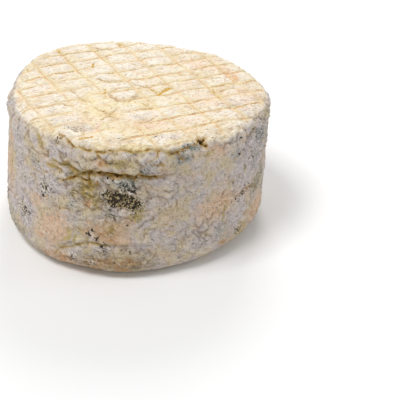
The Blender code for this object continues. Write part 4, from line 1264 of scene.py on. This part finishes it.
segments = add("MapRange", (pattern["patch"], 0.36, 0.52, 0.35, 1.0), interpolation_type=SOFT)
print_mark = {}
for name, threads, shift, half_width in PRINT_LINES:
    thread = field_of[name + "_thread"]
    offset = add("Math", (thread, add("Math", (thread,), operation="ROUND")), operation="SUBTRACT")
    from_thread = shaken(add("Math", (offset, threads["pitch"]), operation="MULTIPLY"), LINE_SHAKE)
    off_line = add("Math", (add("Math", (from_thread, shift), operation="SUBTRACT"),), operation="ABSOLUTE")
    off_groove = add("Math", (from_thread,), operation="ABSOLUTE")
    marks = {
        # The line: print stain and painted shadow where the next cell overhangs the groove
        "line": (off_line, half_width, 0.15, 0.0, 0.9),
        "band": (off_groove, 3.6, 1.2, 0.0, 0.7),
        "sunk": (off_groove, 1.7, 0.5),
    }
    for mark, limits in marks.items():
        faded = add("MapRange", limits, interpolation_type=SOFT)
        print_mark[name, mark] = add("Math", (faded, field_of[name + "_depth"]), operation="MULTIPLY")
    print_mark[name, "line"] = add("Math", (print_mark[name, "line"], segments), operation="MULTIPLY")
print("marks of the print:", len(print_mark))

# %% Colours of the faces
SKIN_CREAM = linear("#f6ebd5")
# Pale skin; where the relief and the cell pillows stand up it is also a painted highlight
SKIN_PALE_AND_HIGHLIGHT = linear("#fbf4e9")
SKIN_BUTTER = linear("#f6e7bb")
SKIN_BLUSH = linear("#f6d8c1")
SKIN_ORANGE = linear("#e9bc92")
SKIN_LILAC = linear("#dfd5cd")
# Tan of the print's lines: the print's stain and painted shadow in the groove
LINE_TAN_AND_SHADOW = linear("#d9a272")
CRACK_OCHRE = linear("#cda23c")
FACE_SPECK = linear("#75684f")
# Painted shade for the hollows and rumples of the relief, also used for darker mottling
FACE_SHADE_AND_MOTTLE = linear("#e1caa6")
# Painted shade in the valleys of the wrinkles
FACE_CREASE_SHADE = linear("#cfc0a9")
# Painted shade in the furrows
FURROW_SHADE = linear("#cbb48e")
CRACK_SHAKE = 0.35
FURROW_SHAKE = 0.7

# Painted shade in the valleys of the wrinkles, where their bump is lowest
face_crease_shade = both((valley["wrinkle"], SOFT, 0.12, 0.02, 0.0, 0.8), (pattern["mottle"], SOFT, 0.44, 0.56))
face_tufts = both((tuft_peak, SOFT, *TUFT_RISE[:2]), (field_of["mould"], EVEN, 0.05, 0.3, 0.0, 0.8))
skin = laid_over(SKIN_CREAM, (
    (pattern["drift"], (0.4, 0.62, 0.0, 0.8), SKIN_PALE_AND_HIGHLIGHT, "MIX"),
    (pattern["cloud"], (0.48, 0.64, 0.0, 0.5), SKIN_BUTTER, "MIX"),
    (pattern["patch"], (0.5, 0.66, 0.0, 0.4), SKIN_LILAC, "MIX"),
    (ragged["butter"], (0.1, 0.9, 0.0, 0.8), SKIN_BUTTER, "MIX"),
    (ragged["blush"], (0.12, 0.9, 0.0, 0.9), SKIN_BLUSH, "MIX"),
    (ragged["lilac"], (0.12, 0.8, 0.0, 0.8), SKIN_LILAC, "MIX"),
    (ragged["bloom"], (0.1, 0.9, 0.0, 0.85), SKIN_PALE_AND_HIGHLIGHT, "MIX"),
    # Painted highlight: the raised relief and the middles of the cell pillows are made paler
    (field_of["fine"], (-0.1, 0.3, 0.0, 0.4), SKIN_PALE_AND_HIGHLIGHT, "MIX"),
    # Painted shade in the hollows of the relief
    (field_of["fine"], (-0.1, -0.6, 0.0, 0.4), FACE_SHADE_AND_MOTTLE, "MULTIPLY"),
    (pattern["mottle"], (0.48, 0.34, 0.0, 0.4), FACE_SHADE_AND_MOTTLE, "MULTIPLY"),
    # Painted shade in the wrinkle valleys, the furrows and the rumple valleys
    (face_crease_shade, (), FACE_CREASE_SHADE, "MULTIPLY"),
    (shaken(field_of["furrow_away"], FURROW_SHAKE), (1.3, 0.2, 0.0, 0.75), FURROW_SHADE, "MULTIPLY"),
    (valley["rumple"], (0.06, 0.0, 0.0, 0.35), FACE_SHADE_AND_MOTTLE, "MULTIPLY"),
    (print_mark["steep", "band"], (), SKIN_BUTTER, "MIX"),
    (print_mark["flat", "band"], (), SKIN_BUTTER, "MIX"),
    # The print's lines: stain and painted shadow in the grooves
    (print_mark["steep", "line"], (), LINE_TAN_AND_SHADOW, "MIX"),
    (print_mark["flat", "line"], (), LINE_TAN_AND_SHADOW, "MIX"),
    (ragged["orange"], (0.15, 0.8, 0.0, 0.9), SKIN_ORANGE, "MIX"),
    (shaken(field_of["crack_stain"], CRACK_SHAKE), (0.2, 0.7, 0.0, 0.95), CRACK_OCHRE, "MIX"),
    (face_tufts, (), FACE_SPECK, "MIX"),
    (speck_peak, SPECK_RISE, FACE_SPECK, "MIX"),
))
print("faces:", len(tree.nodes), "nodes")

# %% [markdown]
# The two chains meet at the rim. The cuts go over both, because creases run from one to the
# other: a wide ochre mark, a brown one inside it and a black core of dark stain and painted
# shadow where the cut is deepest.
# The roughness is high everywhere and a little lower on the smooth places. The bumps add what
# is smaller than the mesh: the sharp edge of a groove, the creases, and the grain.

# %% Put the rind together
CUT_OCHRE = linear("#bd8f28")
CUT_BROWN = linear("#876312")
# Dark stain and painted shadow in the deepest part of a cut
CUT_BLACK_AND_SHADOW = linear("#1d160b")
# Each mark of a cut: its colour, where it starts and is full as a share of the crease's width,
# how dark a crease has to be for a trace and for all of it, and its strength
CUT_MARKS = (
    (CUT_OCHRE, (2.2, 0.4), (0.1, 0.9), 0.78),
    (CUT_BROWN, (1.1, 0.2), (0.15, 0.75), 0.85),
    (CUT_BLACK_AND_SHADOW, (0.8, 0.1), (0.65, 1.15), 0.9),
)
CUT_SHAKE = 0.6
# Wax and dried paste: an IOR of fat, a low sheen, and a little light let in
RIND_IOR = 1.45
RIND_SPECULAR = 0.35
RIND_ROUGHNESS = (0.62, 0.82)
LET_IN = 0.1
LET_IN_RADIUS = (1.0, 0.6, 0.35)
LET_IN_DEPTH = 2.0 * MM
# Puffs are flat above this height, as a share of the noise
BUMP_TOP = 0.3
CREASE_DEPTH = 0.75 * MM
GROOVE_DEPTH = 0.4 * MM
GRAIN_DEPTH = 0.22 * MM

surface = laid_over(wall, ((field_of["skin_top"], (), skin, "MIX"),))
from_cut = shaken(field_of["crease_away"], CUT_SHAKE)
for colour, reach, darkness, full in CUT_MARKS:
    in_crease = both((from_cut, SOFT, *reach), (field_of["crease_dark"], EVEN, *darkness))
    in_fold = add("MapRange", (field_of["cut_stain"], *darkness))
    in_either = add("Math", (in_crease, in_fold), operation="MAXIMUM")
    amount = add("Math", (in_either, full), operation="MULTIPLY")
    surface = laid_over(surface, ((amount, (), colour, "MIX"),))

wall_height = add("Math", (valley["crumple"], BUMP_TOP), operation="MINIMUM")
face_height = add("Math", (valley["wrinkle"], BUMP_TOP), operation="MINIMUM")
face_height = add("Math", (face_height, valley["rumple"]), operation="ADD")
crease_height = add("Mix", {0: field_of["skin_top"], 2: wall_height, 3: face_height})
grain_height = add("Math", (pattern["fleck"], pattern["dust"]), operation="ADD")
print_sunk = add("Math", (print_mark["flat", "sunk"], print_mark["steep", "sunk"]), operation="MAXIMUM")
groove_height = add("Math", (print_sunk, -1.0), operation="MULTIPLY")
bumps = ((groove_height, GROOVE_DEPTH), (crease_height, CREASE_DEPTH), (grain_height, GRAIN_DEPTH))
normal = {}
for bump_height, depth in bumps:
    bump = add("Bump", {"Height": bump_height, "Strength": 1.0, "Distance": depth, **normal})
    normal = {"Normal": bump}
roughness = add("MapRange", (pattern["mottle"], *NOISE_SPREAD, *RIND_ROUGHNESS))
shader = add(
    "BsdfPrincipled",
    {
        "Base Color": surface,
        "Roughness": roughness,
        "Normal": bump,
        "IOR": RIND_IOR,
        "Specular IOR Level": RIND_SPECULAR,
        "Subsurface Weight": LET_IN,
        "Subsurface Radius": LET_IN_RADIUS,
        "Subsurface Scale": LET_IN_DEPTH,
    },
)
add("OutputMaterial", {"Surface": shader})
wheel.data.materials.clear()
wheel.data.materials.append(rind)
print("rind material:", len(tree.nodes), "nodes")

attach(wheel, "root")
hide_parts("cheese_wheel")

# %% [markdown]
# ## Floor, light and camera
#
# The photograph is a shop picture on pure white. A large white floor and a weak white surround
# give the same ground. Three wide soft lights, the strongest of them above on the left, one
# behind and a weak one on the right, give a bright top, a darker wall and hardly a shadow.

# %% Floor
PAPER_WHITE = linear("#f8f8f8")
PAPER_ROUGHNESS = 0.9
bpy.ops.object.select_all(action="DESELECT")
bpy.ops.mesh.primitive_plane_add(size=6.0, location=(0.0, 0.0, 0.0))
floor = bpy.context.object
floor.name = "floor"
paper = bpy.data.materials.new("white_paper")
paper.use_nodes = True
paper.node_tree.nodes["Principled BSDF"].inputs["Base Color"].default_value = PAPER_WHITE
paper.node_tree.nodes["Principled BSDF"].inputs["Roughness"].default_value = PAPER_ROUGHNESS
floor.data.materials.append(paper)
print("floor:", floor.name)

# %% Light
SURROUND_STRENGTH = 0.42
LIT_PLACE = Vector((0.0, 0.0, 0.05))
# Each light: name, place and size in metres, watts
LIGHTS = (
    ("left_above", (-1.0, -0.6, 2.4), 1.0, 38.0),
    ("back", (0.2, 1.9, 1.5), 0.9, 21.5),
    ("right", (2.2, 0.1, 1.0), 0.9, 7.5),
)
bpy.context.scene.view_settings.view_transform = "Standard"
world = bpy.data.worlds.new("surround")
world.use_nodes = True
world.node_tree.nodes["Background"].inputs["Color"].default_value = (1.0, 1.0, 1.0, 1.0)
world.node_tree.nodes["Background"].inputs["Strength"].default_value = SURROUND_STRENGTH
bpy.context.scene.world = world
for name, place, size, watts in LIGHTS:
    lamp = bpy.data.lights.new(name, "AREA")
    lamp.size = size
    lamp.energy = watts
    lamp_object = bpy.data.objects.new(name, lamp)
    bpy.context.scene.collection.objects.link(lamp_object)
    lamp_object.location = place
    lamp_object.rotation_euler = (LIT_PLACE - Vector(place)).to_track_quat("-Z", "Y").to_euler()
print("lights:", len(LIGHTS))

# %% [markdown]
# The camera's place, aim and roll were fitted to the outline of the wheel in the photograph and
# to its front rim. The lens is long, as in most shop pictures, so the far side is hardly smaller.

# %% Camera
CAMERA_PLACE = Vector((-0.0006, -0.6785, 0.3959))
CAMERA_AIM = Vector((0.0502, 0.0, 0.0050))
CAMERA_ROLL = math.radians(3.3)
lens = bpy.data.cameras.new("camera")
lens.lens = 90.0
lens.sensor_width = 36.0
camera = bpy.data.objects.new("camera", lens)
bpy.context.scene.collection.objects.link(camera)
look = (CAMERA_AIM - CAMERA_PLACE).to_track_quat("-Z", "Y").to_matrix().to_4x4()
camera.matrix_world = Matrix.Translation(CAMERA_PLACE) @ look @ Matrix.Rotation(CAMERA_ROLL, 4, "Z")
bpy.context.scene.camera = camera
print("camera", round((CAMERA_AIM - CAMERA_PLACE).length, 2), "m from its aim")
